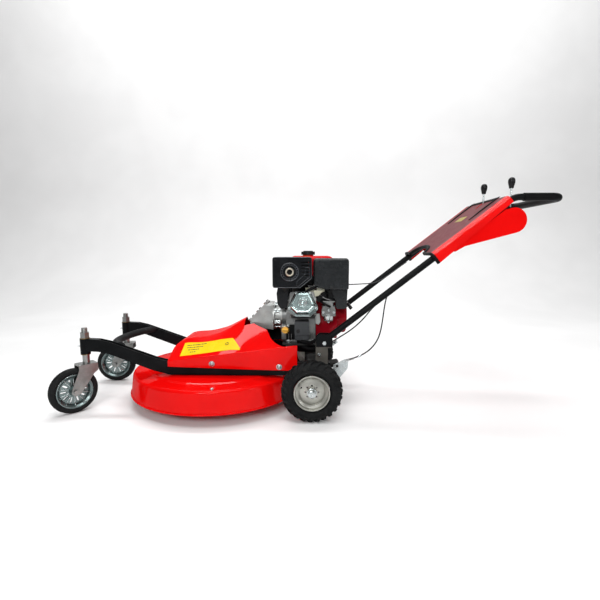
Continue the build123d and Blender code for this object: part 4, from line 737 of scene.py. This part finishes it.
# ------------------------------------------------------------------ crankcase castings
bm = bmesh.new()
for x, z in ((-6, 300), (104, 300)):
    washer_hex(bm, P(x, 118.0, z - 4), (0, 1, 0), 0.0065, 0.008)
for x, z in ((108, 366), (108, 486), (2, 486), (2, 420)):
    washer_hex(bm, P(x, 106, z), (0, 1, 0), 0.0050, 0.006)
obj("crankcase_bolts", bm, "zinc", "chassis", 30)
bm = bmesh.new()
for x in (-12, 0, 92, 104):
    prism(bm, [P(x, 105, 304), P(x + 4, 105, 304), P(x + 4, 105, 330), P(x, 105, 330)], (0, 0.009, 0))
loft(bm, [[P(x, 105.5 + dy, z) for x, z in rounded([(84, 380), (114, 380), (114, 492), (84, 492)], 6, 4)] for dy in (0, 4)])
loft(bm, [[P(x, 105.5 + dy, z) for x, z in rounded([(-14, 400), (4, 400), (4, 492), (-14, 492)], 6, 4)] for dy in (0, 4)])
o = obj("crankcase_ribs", bm, "alu_painted_shade", "chassis", 35)
bevel_mod(o, 0.0012, 2)
# black sheet between gear case and crankcase: painted shade hiding the lit hood inside beyond
plate("shade_plate_by_gear_case", [P(119, -70, 262), P(252, -70, 262), P(252, -70, 300), P(226, -70, 330), P(196, -70, 352), P(168, -70, 372), P(119, -70, 372)], (0, 0.003, 0), "black")
bm = bmesh.new()
cs = rounded([(-8, 470), (-8, 596), (126, 596), (126, 470)], 10, 5)
prism(bm, [P(x, 46, z) for x, z in cs], (0, 0.003, 0))
for i in range(6):
    zz = 486 + i * 18
    prism(bm, [P(2, 49, zz), P(116, 49, zz), P(116, 49, zz + 6), P(2, 49, zz + 6)], (0, 0.004, 0))
o = obj("cylinder_air_shroud", bm, "guard", "chassis", 30)
bevel_mod(o, 0.0010, 2)
pipe("drain_hose", [(62, 124, 300), (34, 150, 300), (6, 176, 302), (-14, 196, 318)], 0.0085, "rubber", seg=16)
pipe("wiring_hose", [(66, 122, 286), (40, 140, 276), (12, 160, 272), (-18, 176, 276)], 0.0070, "rubber", seg=16)
bm = bmesh.new()
for x, y, z in ((106, 112, 338), (106, 112, 354)):
    lathe(bm, [(0.0004, 0), (0.0058, 0), (0.0058, 0.006), (0.004, 0.009), (0.0004, 0.0092)], P(x, y, z), (0, 1, 0), 24)
obj("sensor_plugs", bm, "rubber", "chassis", 40)

bf = rounded([(-22, 446), (-158, 446), (-158, 556), (-22, 556)], 10, 5)
plate("air_intake_baffle", [P(x, 93, z) for x, z in bf], (0, 0.003, 0), "guard", bev=0.0010)
cv = rounded([(72, 296), (118, 296), (118, 330), (104, 372), (72, 372)], 6, 4)
plate("governor_side_cover", [P(x, 106, z) for x, z in cv], (0, 0.006, 0), "black", bev=0.0010)

# studs between the two flanges of the gear case neck
bm = bmesh.new()
for i in range(8):
    a = math.radians(22.5 + 45 * i)
    yy, zz = 57.5 * math.cos(a), 401 + 57.5 * math.sin(a)
    tube(bm, [P(147.5, yy, zz), P(176.5, yy, zz)], 0.0032, 12)
    hexhead(bm, P(148, yy, zz), (1, 0, 0), 0.0064, 0.005)
    hexhead(bm, P(176, yy, zz), (-1, 0, 0), 0.0064, 0.005)
    hexhead(bm, P(184, yy, zz), (1, 0, 0), 0.0060, 0.004)
obj("gear_case_studs", bm, "castrib", "chassis", 30)

# fuel tank seam and a plain worn label beside the filler
bm = bmesh.new()
ts = [P(x, y - 70, 602) for x, y in rounded([(-105.9, -105.9), (105.9, -105.9), (105.9, 105.9), (-105.9, 105.9)], 29, 8)]
tube(bm, ts + [ts[0]], 0.0024, 10, caps=False)
obj("fuel_tank_seam", bm, "tankred", "chassis", 60)
bm = bmesh.new()
lab = rounded([(8, -20), (62, -20), (62, 8), (8, 8)], 4, 4)
loft(bm, [[P(x, y, zz) for x, y in lab] for zz in (686.02, 686.5)])
obj("fuel_tank_label", bm, "label", "chassis", 30)

# oil cap grips
oa = Vector((0, 1.0, 0.25)).normalized()
ob = P(122, 105, 345)
bm = bmesh.new()
u = Vector((1, 0, 0))
v = oa.cross(u)
for k in range(14):
    a = 2 * math.pi * k / 14
    d = u * math.cos(a) + v * math.sin(a)
    e = oa.cross(d)
    c0 = ob + oa * 0.0165 + d * 0.0172
    prism(bm, [c0 + e * 0.0014, c0 + e * 0.0009 + d * 0.0012, c0 - e * 0.0009 + d * 0.0012, c0 - e * 0.0014], oa * 0.0155)
c0 = ob + oa * 0.0344
prism(bm, [c0 + u * 0.013 + v * 0.0028, c0 - u * 0.013 + v * 0.0028, c0 - u * 0.013 - v * 0.0028, c0 + u * 0.013 - v * 0.0028], oa * 0.0045)
o = obj("oil_cap_grips", bm, "yellow", "oil_cap", 30)

# ------------------------------------------------------------------ hood sheet with a rounded nose
HS = [(64.0, 187.0, 300.0, 20.0, 452.0), (300.0, 193.0, 271.0, 20.0, 398.0), (420.0, 197.0, 256.0, 74.0, 330.0), (500.0, 199.0, 246.5, 80.0, 308.0), (560.0, 201.0, 239.0, 80.0, 304.0), (640.0, 203.0, 231.0, 84.0, 300.0)]
HY = 224.5


def hood_at(x):
    x = min(max(x, 64.0), 637.0)
    for a, b in zip(HS, HS[1:]):
        if x <= b[0]:
            t = (x - a[0]) / (b[0] - a[0])
            return [p + (q - p) * t for p, q in zip(a[1:], b[1:])]
    return list(HS[-1][1:])


def hood_smooth(x):
    n = 9
    w = 24.0 if x < 600 else 24.0 * max(0.0, (637.0 - x) / 37.0)
    vals = [hood_at(x + w * (2.0 * i / (n - 1) - 1.0)) for i in range(n)]
    zb, zc, yr, zr = [sum(v[j] for v in vals) / n for j in range(4)]
    if x > 562:
        u = (x - 562) / 75.0
        f = 1.0 - math.sqrt(max(0.0, 1.0 - u * u))
        zr -= 42.0 * f
        yr += 70.0 * f
        zc -= 3.0 * f
    return zb, zc, yr, zr


def hood_ring(x, t):
    zb, zc, yr, zr = hood_smooth(x)
    h = HY - t
    poly = [(-h, zb - (30 if t else 0)), (h, zb - (30 if t else 0)), (h, zc - 0.35 * t), (yr - 0.4 * t, zr - t), (-yr + 0.4 * t, zr - t), (-h, zc - 0.35 * t)]
    out = []
    for i, q in enumerate(poly):
        r = 0.4 if i < 2 else ((4.0, 14.0, 14.0, 4.0)[i - 2])
        p0, p1, p2 = Vector(poly[i - 1]), Vector(q), Vector(poly[(i + 1) % 6])
        a, b = (p0 - p1).normalized(), (p2 - p1).normalized()
        half = math.acos(max(-1, min(1, a.dot(b)))) / 2
        tt = min(r / math.tan(half), (p0 - p1).length * 0.45, (p2 - p1).length * 0.45)
        s0, e0 = p1 + a * tt, p1 + b * tt
        for j in range(7):
            w = j / 6
            out.append(tuple(s0 * (1 - w) ** 2 + p1 * 2 * w * (1 - w) + e0 * w ** 2))
    return [P(x, y, z) for y, z in out]


def cut(name, bm, cutters):
    """Cut a closed mesh by other closed meshes and hand back a bmesh."""
    bmesh.ops.recalc_face_normals(bm, faces=bm.faces)
    me = bpy.data.meshes.new(name)
    bm.to_mesh(me)
    bm.free()
    o = bpy.data.objects.new(name, me)
    bpy.context.scene.collection.objects.link(o)
    tmp = []
    for c in cutters:
        bmesh.ops.recalc_face_normals(c, faces=c.faces)
        cm = bpy.data.meshes.new("cutter")
        c.to_mesh(cm)
        c.free()
        co = bpy.data.objects.new("cutter", cm)
        bpy.context.scene.collection.objects.link(co)
        m = o.modifiers.new("cut", "BOOLEAN")
        m.operation = "DIFFERENCE"
        m.solver = "EXACT"
        m.object = co
        tmp.append(co)
    bpy.context.view_layer.update()
    res = bpy.data.meshes.new_from_object(o.evaluated_get(bpy.context.evaluated_depsgraph_get()))
    for q in tmp + [o]:
        d = q.data
        bpy.data.objects.remove(q)
        bpy.data.meshes.remove(d)
    out = bmesh.new()
    out.from_mesh(res)
    bpy.data.meshes.remove(res)
    return out


bm = bmesh.new()
xs = [64 + 12 * i for i in range(42)] + [562 + 75 * math.sin(math.pi / 2 * i / 12) for i in range(13)]
xs = sorted(set(round(x, 3) for x in xs))
loft(bm, [hood_ring(x, 0) for x in xs])
inner = bmesh.new()
xi = [58.0] + [x for x in xs if 64 <= x < 634.5] + [635.0]
loft(inner, [hood_ring(x, 2.0) if x > 60 else [Vector((P(50, 0, 0).x, v.y, v.z)) for v in hood_ring(64, 2.0)] for x in xi])
prof = [(40, 520), (322, 520), (322, 480), (314, 393), (262, 366), (206, 350), (192, 332)]
p0, m0, p1, m1 = Vector((192, 332)), Vector((-22, -52)), Vector((110, 294.6)), Vector((-95, 11))
for i in range(1, 17):
    t = i / 16
    q = p0 * (2 * t ** 3 - 3 * t ** 2 + 1) + m0 * (t ** 3 - 2 * t ** 2 + t) + p1 * (-2 * t ** 3 + 3 * t ** 2) + m1 * (t ** 3 - t ** 2)
    prof.append((q.x, q.y))
prof += [(110, 277.5), (40, 277.5)]
rear = bmesh.new()
prism(rear, [P(x, -HY + 2.5, z) for x, z in prof], (0, 2 * (HY - 2.5) / 1000, 0))
notch = bmesh.new()
box(notch, P(182, -72, 345), P(318, 72, 430))
arms = bmesh.new()
for sg in (1, -1):
    box(arms, P(608, sg * 206.3 - 16.1, 190), P(652, sg * 206.3 + 16.1, 228.6))
bm = cut("hood_work", bm, [inner, rear, notch, arms])
bmesh.ops.remove_doubles(bm, verts=bm.verts, dist=0.00002)
hood_o = obj("hood_folded_sheet", bm, "red", "chassis", 28)
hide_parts("hood")


def hood_face(x, v, lift):
    zb, zc, yr, zr = hood_smooth(x)
    n = Vector((0, zr - zc, HY - yr)).normalized()
    return P(x, HY + (yr - HY) * v, zc + (zr - zc) * v) + Vector((0, n.y, n.z)) * lift


def lerp_at(x, tab):
    for a, b in zip(tab, tab[1:]):
        if x <= b[0]:
            return a[1] + (b[1] - a[1]) * (x - a[0]) / (b[0] - a[0])
    return tab[-1][1]


LOWV = [(313.0, 0.06), (360.0, 0.115), (420.0, 0.150), (588.0, 0.140)]
UPV = [(313.0, 0.06), (361.5, 0.50), (420.0, 0.645), (588.0, 0.760)]
bm = bmesh.new()
dx = sorted(set([313.0 + 5.5 * i for i in range(1, 46)] + [361.5, 420.0]))
dx = [x for x in dx + [561.5, 567.0, 572.5, 578.0, 583.5, 588.0] if x != 560.5 and x <= 588.0]
dx = sorted(set(dx))
top, bot = [], []
for x in dx:
    lo_, hi_ = lerp_at(x, LOWV), lerp_at(x, UPV)
    top.append([bm.verts.new(hood_face(x, lo_ + (hi_ - lo_) * j / 8, 0.0009)) for j in range(9)])
    bot.append([bm.verts.new(hood_face(x, lo_ + (hi_ - lo_) * j / 8, 0.0002)) for j in range(9)])
for i in range(len(dx) - 1):
    for j in range(8):
        bm.faces.new((top[i][j], top[i + 1][j], top[i + 1][j + 1], top[i][j + 1]))
        bm.faces.new((bot[i][j], bot[i][j + 1], bot[i + 1][j + 1], bot[i + 1][j]))
    for j in (0, 8):
        bm.faces.new((top[i][j], bot[i][j], bot[i + 1][j], top[i + 1][j]))
for i in (0, len(dx) - 1):
    for j in range(8):
        bm.faces.new((top[i][j], top[i][j + 1], bot[i][j + 1], bot[i][j]))
obj("hood_decal", bm, "decal", "chassis", 30)
# generic marks on the decal: plain bars and a ring
bm = bmesh.new()
for row, (x0, widths) in enumerate((
        (572.0, (14, 5, 9, 6, 12, 4, 8, 11)), (568.0, (6, 11, 4, 8, 13, 5, 9)), (560.0, (9, 4, 12, 6, 8)), (548.0, (7, 5, 8)))):
    xx = x0
    v0 = 0.62 - row * 0.11
    for wdt in widths:
        c = [hood_face(xx, v0, 0.0008), hood_face(xx - wdt, v0, 0.0008), hood_face(xx - wdt, v0 - 0.032, 0.0008), hood_face(xx, v0 - 0.032, 0.0008)]
        n = (c[1] - c[0]).cross(c[3] - c[0]).normalized()
        prism(bm, c, n * (0.0005 if n.z > 0 else -0.0005))
        xx -= wdt + 2.8
obj("decal_bars", bm, "decalink", "chassis", 0)
bm = bmesh.new()
cc = hood_face(384, 0.36, 0.0012)
ax1 = (hood_face(390, 0.36, 0.0012) - cc).normalized()
ax2 = (hood_face(384, 0.38, 0.0012) - cc)
ax2 = (ax2 - ax1 * ax2.dot(ax1)).normalized()
DN2 = ax1.cross(ax2)
DN2 = DN2 if DN2.z > 0 else -DN2
torus(bm, cc, DN2, 0.0085, 0.0007, 48, 6)
for k in range(6):
    a = k * math.pi / 3
    d = ax1 * math.cos(a) + ax2 * math.sin(a)
    e = DN2.cross(d)
    c1 = cc + d * 0.0040 - DN2 * 0.0005
    prism(bm, [c1 + e * 0.0012, c1 + d * 0.0035 + e * 0.0012, c1 + d * 0.0035 - e * 0.0012, c1 - e * 0.0012], DN2 * 0.0007)
obj("decal_round_mark", bm, "decalink", "chassis", 0)

bm = bmesh.new()
for sg in (1, -1):
    for bx, bz in ((440, 218), (143, 206)):
        dome_bolt(bm, P(bx, sg * 229.0, bz), (0, sg, 0), 0.0098, 0.0055)
obj("hood_dome_bolts", bm, "zinc", "chassis", 40)
bm = bmesh.new()
for sg in (1, -1):
    for bx, bz, yb in ((-54, 315, 241.0), (-32, 262, 236.0)):
        lathe(bm, [(0.002, 0.0), (0.0066, 0.0), (0.0058, 0.0012), (0.002, 0.0012)], P(bx, sg * yb, bz), (0, sg, 0), 24)
    washer_hex(bm, P(407, sg * 372, 153.0), (0, 0, 1), 0.006, 0.006)
obj("small_bolt_faces", bm, "zinc", "chassis", 30)

# rolled edge along the hood's lower border
bm = bmesh.new()
for sg in (1, -1):
    tube(bm, smooth_path([P(66, sg * 223.6, 187.5), P(300, sg * 223.6, 193.3), P(420, sg * 223.6, 197.3), P(592, sg * 223.6, 202.3), P(612, sg * 223.6, 203)], 4), 0.0012, 8)
obj("hood_hem", bm, "red", "chassis", 60)

# ------------------------------------------------------------------ handle mount, adjuster, clutch spring
hm = frame["nodes"]["handle_mounts"]
hm.data.materials.append(M["post"])
for f in hm.data.polygons:
    cz = f.center.z * 1000
    if cz < 297 and abs(f.center.y) * 1000 < 229.6:
        f.material_index = len(hm.data.materials) - 1
bm = bmesh.new()
a0, a1 = P(-74, 200, 290), P(-112, 200, 316)
ax = (a1 - a0).normalized()
lathe(bm, [(0.0034, 0.0), (0.0062, 0.0), (0.0070, 0.002), (0.0070, 0.020), (0.0058, 0.022), (0.0058, 0.030), (0.0066, 0.031), (0.0066, 0.044), (0.0034, 0.046)], a0, ax, 32)
hexhead(bm, a0 + ax * 0.0215, ax, 0.0092, 0.005, ref=(0, 1, 0))
obj("cable_adjuster", bm, "zinc", "chassis", 40)
pipe("blade_cable_tail", [(-92, 166, 306), (-96, 180, 304), (-108, 200, 313)], 0.0030, "cable")
bm = bmesh.new()
helix(bm, P(-153, 134, 209), P(-196, 134, 221), 0.0048, 0.0011, 11, seg=16, ring=8)
tube(bm, smooth_path([P(-196, 134, 221), P(-206, 134, 224), P(-214, 134, 227)]), 0.0012, 8)
tube(bm, smooth_path([P(-153, 134, 209), P(-148, 134, 208), P(-146, 136, 203), P(-150, 137.5, 200)]), 0.0012, 8)
obj("clutch_return_spring", bm, "steel", "chassis", 60)
cpl = rounded([(-100, 189), (-96, 155), (-131, 129), (-166, 172), (-171, 219), (-152, 215), (-114, 196)], 7, 5)
bm = bmesh.new()
prism(bm, [P(x, 136, z) for x, z in cpl], (0, -0.004, 0))
lathe(bm, [(0.0066, 0.0), (0.0105, 0.0), (0.0105, 0.0016), (0.0098, 0.0022), (0.0066, 0.0022)], P(-118, 135.9, 185), (0, 1, 0), 32)
o = obj("clutch_plate_pressing", bm, "zinc", "clutch_plate", 30)
bevel_mod(o, 0.0007, 2)
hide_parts("drive_clutch_plate")
bm = bmesh.new()
lathe(bm, [(0.0032, 0), (0.0048, 0), (0.0052, 0.002), (0.0052, 0.014), (0.0040, 0.017), (0.0032, 0.017)], P(-214, 134, 228), (-0.9, 0, 0.44), 24)
lathe(bm, [(0.0032, 0), (0.0050, 0), (0.0054, 0.002), (0.0054, 0.016), (0.0040, 0.019), (0.0032, 0.019)], P(-328, 182, 517), (-0.75, 0, 0.66), 24)
obj("cable_ferrules", bm, "zinc", "chassis", 40)

# ------------------------------------------------------------------ console edging
bm = bmesh.new()
path = []
for t in range(-90, 91, 10):
    x, z = hb(566 + 56 * math.cos(math.radians(t)) - 1.5, 22.5)
    path.append(P(x, 116 * math.sin(math.radians(t)), z))
for sg in (1, -1):
    tail = []
    for y, n in ((122, 22.5), (170, 22.5), (210, 22), (226, 16), (231.6, 4), (231.6, -26)):
        x, z = hb(566.5, n)
        tail.append(P(x, sg * y, z))
    tube(bm, smooth_path(tail, 5), 0.0072, 12)
tube(bm, path, 0.0086, 12)
for sg in (1, -1):
    pts = []
    for q_, y in ((953, 132), (900, 132), (850, 132), (806, 132)):
        x, z = hb(q_, 22.0)
        pts.append(P(x, sg * y, z))
    tube(bm, pts, [0.0078, 0.0078, 0.0074, 0.0046], 12)
for ya, yb in ((-131, -9), (9, 131)):
    x, z = hb(953, 22.0)
    tube(bm, [P(x, ya + (yb - ya) * i / 6, z) for i in range(7)], 0.0072, 12)
obj("console_edge_rubber", bm, "rubber", "chassis", 60)
bm = bmesh.new()
lab = rounded([(806, 34), (806, -52), (842, -52), (842, 34)], 6, 5)
loft(bm, [[P(hb(q_, nn)[0], y, hb(q_, nn)[1]) for q_, y in lab] for nn in (24.02, 24.5)])
obj("console_label", bm, "label", "chassis", 30)

# ------------------------------------------------------------------ console tray, a folded shell
A0, A1 = hb(650, -30), hb(918, -20)
tp = [Vector(A0), Vector((-640, 731))]
tc = Vector((-838.0, 838.0))
for i in range(25):
    a = math.radians(-105.0 - 187.2 * i / 24)
    tp.append(tc + Vector((math.cos(a), math.sin(a))) * 52.0)
tp.append(Vector(A1))
bm = bmesh.new()
off = []
for i, q in enumerate(tp):
    a, b = tp[max(i - 1, 0)], tp[min(i + 1, len(tp) - 1)]
    d = (b - a).normalized()
    off.append(q + Vector((d.y, -d.x)) * 2.0)
outer_l = [bm.verts.new(P(q.x, 229.5, q.y)) for q in tp]
outer_r = [bm.verts.new(P(q.x, -229.5, q.y)) for q in tp]
inner_l = [bm.verts.new(P(q.x, 227.5, q.y)) for q in off]
inner_r = [bm.verts.new(P(q.x, -227.5, q.y)) for q in off]
n = len(tp)
for i in range(n - 1):
    bm.faces.new((outer_l[i], outer_l[i + 1], outer_r[i + 1], outer_r[i]))
    bm.faces.new((inner_l[i], inner_r[i], inner_r[i + 1], inner_l[i + 1]))
    bm.faces.new((outer_l[i], inner_l[i], inner_l[i + 1], outer_l[i + 1]))
    bm.faces.new((outer_r[i], outer_r[i + 1], inner_r[i + 1], inner_r[i]))
for i in (0, n - 1):
    bm.faces.new((outer_l[i], outer_r[i], inner_r[i], inner_l[i]))
side_top = [Vector(hb(918, -15.5)), Vector(hb(652, -15.5))]
for sg in (1, -1):
    prism(bm, [P(q.x, sg * 229.5, q.y) for q in tp + side_top], (0, -sg * 0.002, 0))
tray_o = obj("console_tray_shell", bm, "red", "chassis", 35)
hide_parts("console_tray")

# ------------------------------------------------------------------ wheels
RIBS = [(0.0240, 0.0086), (0.036, 0.0076), (0.050, 0.0062), (0.057, 0.0060), (0.0625, 0.0128), (0.067, 0.0180)]
for sg, nm in ((1, "left"), (-1, "right")):
    bm = bmesh.new()
    wc = P(0, sg * 318, 130)
    torus(bm, wc + Vector((0, sg * 0.0352, 0)), (0, 1, 0), 0.0735, 0.0016, 96, 10)
    torus(bm, wc + Vector((0, sg * 0.0165, 0)), (0, 1, 0), 0.0570, 0.0014, 80, 8)
    obj(nm + "_rear_rim_lip", bm, "rimgrey", nm + "_rear_wheel", 60)
    bm = bmesh.new()
    lathe(bm, [(0.0004, 0.0), (0.0145, 0.0), (0.0150, 0.0010), (0.0150, 0.0030), (0.0128, 0.0045), (0.0060, 0.0050), (0.0052, 0.0038), (0.0004, 0.0036)], wc + Vector((0, sg * 0.0420, 0)), (0, sg, 0), 40)
    lathe(bm, [(0.0156, -0.004), (0.0205, -0.004), (0.0205, 0.0), (0.0190, 0.0012), (0.0156, 0.0012)], wc + Vector((0, sg * 0.0300, 0)), (0, sg, 0), 40)
    obj(nm + "_rear_hub_pin", bm, "zinc", nm + "_rear_wheel", 40)
    bm = bmesh.new()
    vp = wc + Vector((0.044, sg * 0.016, 0.020))
    lathe(bm, [(0.0004, 0.0), (0.0030, 0.0), (0.0026, 0.006), (0.0021, 0.007), (0.0021, 0.014), (0.0004, 0.015)], vp, (0.15, sg, 0.05), 16)
    obj(nm + "_rear_valve_stem", bm, "rubber", nm + "_rear_wheel", 40)

for sg, ang, nm in ((1, 48.0, "left"), (-1, 7.0, "right")):
    a = math.radians(ang)
    wc = P(1011 + 60 * math.cos(a), sg * 204 + 60 * math.sin(a), 100)
    wax = Vector((-math.sin(a), math.cos(a), 0))
    bm = bmesh.new()
    prof = [(0.0752, -0.0160), (0.0768, -0.0185), (0.0820, -0.0197), (0.0900, -0.0192), (0.0955, -0.0165), (0.0985, -0.0110), (0.0997, -0.0040), (0.0999, 0.0), (0.0997, 0.0040),
            (0.0985, 0.0110), (0.0955, 0.0165), (0.0900, 0.0192), (0.0820, 0.0197), (0.0768, 0.0185), (0.0752, 0.0160)]
    lathe(bm, prof, wc, wax, 128)
    for s in (-1, 1):
        torus(bm, wc + wax * s * 0.0194, wax, 0.0855, 0.0006, 96, 6)
    o = obj(nm + "_caster_solid_tyre", bm, "castertyre", nm + "_caster_wheel", 50)
    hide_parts(nm + "_caster_tyre")
    # radial pressed ribs and a rolled edge on each face of the rim
    bm = bmesh.new()
    ref = Vector((0, 0, 1))
    side_v = wax.cross(ref)
    for s in (-1, 1):
        torus(bm, wc + wax * s * 0.0172, wax, 0.0738, 0.0015, 96, 8)
        for k in range(10):
            b = 2 * math.pi * k / 10
            d = ref * math.cos(b) + side_v * math.sin(b)
            pts = [wc + wax * s * h + d * r for r, h in RIBS]
            tube(bm, smooth_path(pts, 5), [0.0009 + 0.0009 * math.sin(math.pi * i / (len(smooth_path(pts, 5)) - 1)) for i in range(len(smooth_path(pts, 5)))], 8)
    obj(nm + "_caster_rim_ribs", bm, "castrib", nm + "_caster_wheel", 60)
    # king pin grease nipple and thread
    kx = P(1011, sg * 204, 0)
    bm = bmesh.new()
    np_ = P(1011 + 20.5, sg * 204 + (6 if sg > 0 else 6), 292)
    nd = (np_ - Vector((kx.x, kx.y, np_.z))).normalized()
    lathe(bm, [(0.0004, 0), (0.0036, 0), (0.0036, 0.003), (0.0022, 0.004), (0.0020, 0.006), (0.0029, 0.008), (0.0018, 0.0100), (0.0004, 0.0102)], np_, nd, 16)
    obj(nm + "_grease_nipple", bm, "zinc", "chassis", 40)
    bm = bmesh.new()
    for k in range(8):
        torus(bm, Vector((kx.x, kx.y, (354.5 + k * 2.1) / 1000)), (0, 0, 1), 0.0119, 0.0007, 32, 6)
    obj(nm + "_king_pin_thread", bm, "forkzinc", nm + "_caster", 60)


# ------------------------------------------------------------------ bowden cables
def cable(name, pts, r, mat="cable", body="chassis"):
    cu = bpy.data.curves.new(name, "CURVE")
    cu.dimensions = "3D"
    sp = cu.splines.new("NURBS")
    sp.points.add(len(pts) - 1)
    for p, q in zip(sp.points, pts):
        p.co = (*P(*q), 1.0)
    sp.use_endpoint_u = True
    sp.order_u = 3
    sp.resolution_u = 10
    cu.bevel_depth = r
    cu.bevel_resolution = 4
    cu.use_fill_caps = True
    o = bpy.data.objects.new(name, cu)
    bpy.context.scene.collection.objects.link(o)
    cu.materials.append(M[mat])
    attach(o, body)
    return o


CABLE_DRIVE = [(-470, 60, 616), (-420, 64, 581), (-374, 74, 546), (-346, 92, 505), (-334, 108, 460), (-326, 120, 410),
               (-318, 130, 362), (-306, 134, 316), (-282, 134, 276), (-248, 134, 246), (-212, 134, 228), (-172, 134, 214)]
CABLE_BLADE = [(-330, 182, 519), (-292, 182, 486), (-262, 178, 456), (-240, 172, 424), (-212, 168, 392), (-176, 166, 360), (-134, 166, 332), (-92, 166, 306)]
CABLE_THROT = [(-163.6, 120, 560), (-196, 121, 561), (-230, 118, 563), (-266, 108, 564), (-300, 92, 570), (-332, 74, 584), (-366, 62, 606), (-404, 57, 634), (-440, 56, 660)]
for nm, pts, r in (("drive_bowden_cable", CABLE_DRIVE, 0.0031), ("blade_bowden_cable", CABLE_BLADE, 0.0031), ("throttle_bowden_cable", CABLE_THROT, 0.0024)):
    c = cable(nm, pts, r)
    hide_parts("control_cables")

# ------------------------------------------------------------------ floor, light, camera
# a pale sweep: flat floor that curves up behind the machine
bm = bmesh.new()
prof = [(7.0, -0.0008), (-2.2, -0.0008)]
prof += [(-2.2 - 1.6 * math.sin(t), 1.6 - 0.0008 - 1.6 * math.cos(t)) for t in [math.pi / 2 * i / 24 for i in range(1, 25)]]
prof += [(-3.8, 6.5)]
cols = [[bm.verts.new((x, y, z)) for y, z in prof] for x in (-9.0, -3.0, 3.0, 9.0)]
for A, B in zip(cols, cols[1:]):
    for i in range(len(prof) - 1):
        bm.faces.new((A[i], A[i + 1], B[i + 1], B[i]))
k = Nodes("studio_paper")
k.link(k.mix(k.remap(k.noise(1.5, 2), 0, 1, 0.4, 0.6), (0.86, 0.86, 0.86), (0.89, 0.89, 0.89)), k.p.inputs["Base Color"])
k.link(k.remap(k.noise(4.0, 3), 0.75, 0.85), k.p.inputs["Roughness"])
k.p.inputs["Specular IOR Level"].default_value = 0.05
k.bump(k.noise(900.0, 3), 0.05, 0.0003)
floor = obj("studio_sweep", bm, k.m, None, 60)

w = bpy.data.worlds.new("studio")
bpy.context.scene.world = w
w.use_nodes = True
bg = w.node_tree.nodes["Background"]
bg.inputs[0].default_value = (1.0, 1.0, 1.0, 1.0)
bg.inputs[1].default_value = 0.20


def area(name, loc, target, size, power, color=(1, 1, 1), sy=None):
    l = bpy.data.lights.new(name, "AREA")
    l.shape = "RECTANGLE"
    l.size = size
    l.size_y = sy or size
    l.energy = power
    l.color = color
    o = bpy.data.objects.new(name, l)
    bpy.context.scene.collection.objects.link(o)
    o.location = loc
    o.rotation_euler = (Vector(target) - Vector(loc)).to_track_quat("-Z", "Y").to_euler()
    return o


area("key_box", (0.7, 3.3, 1.9), (0.0, 0.0, 0.35), 1.8, 58, sy=0.8)
area("top_box", (0.2, 0.9, 3.6), (0.0, 0.0, 0.2), 2.6, 26, sy=0.9)
area("edge_strip", (0.1, 1.75, 3.15), (-0.5, 0.2, 0.7), 2.6, 30, sy=0.09)
area("rear_fill", (-2.6, 2.2, 1.5), (-0.4, 0.0, 0.5), 0.8, 12)
area("backdrop_wash", (0.0, -1.6, 6.0), (0.0, -3.4, 0.9), 7.0, 270, sy=1.0)

cam = bpy.data.cameras.new("camera")
cam.sensor_fit = "HORIZONTAL"
cam.sensor_width = 36.0
cam.lens = 400.43 * 36.0 / 600.0
cam.clip_start = 0.05
cam.clip_end = 60
camo = bpy.data.objects.new("camera", cam)
bpy.context.scene.collection.objects.link(camo)
pitch, yaw, roll = 0.1247, 0.0194, 0.0005
fw = Vector((math.sin(yaw) * math.cos(pitch), -math.cos(yaw) * math.cos(pitch), -math.sin(pitch)))
rt = fw.cross(Vector((0, 0, 1))).normalized()
up = rt.cross(fw)
camo.matrix_world = Matrix(((rt.x, up.x, -fw.x, AX + 0.0183), (rt.y, up.y, -fw.y, 1.9346), (rt.z, up.z, -fw.z, 0.7163), (0, 0, 0, 1)))
bpy.context.scene.camera = camo
bpy.context.scene.view_settings.view_transform = "Standard"

bpy.context.view_layer.update()
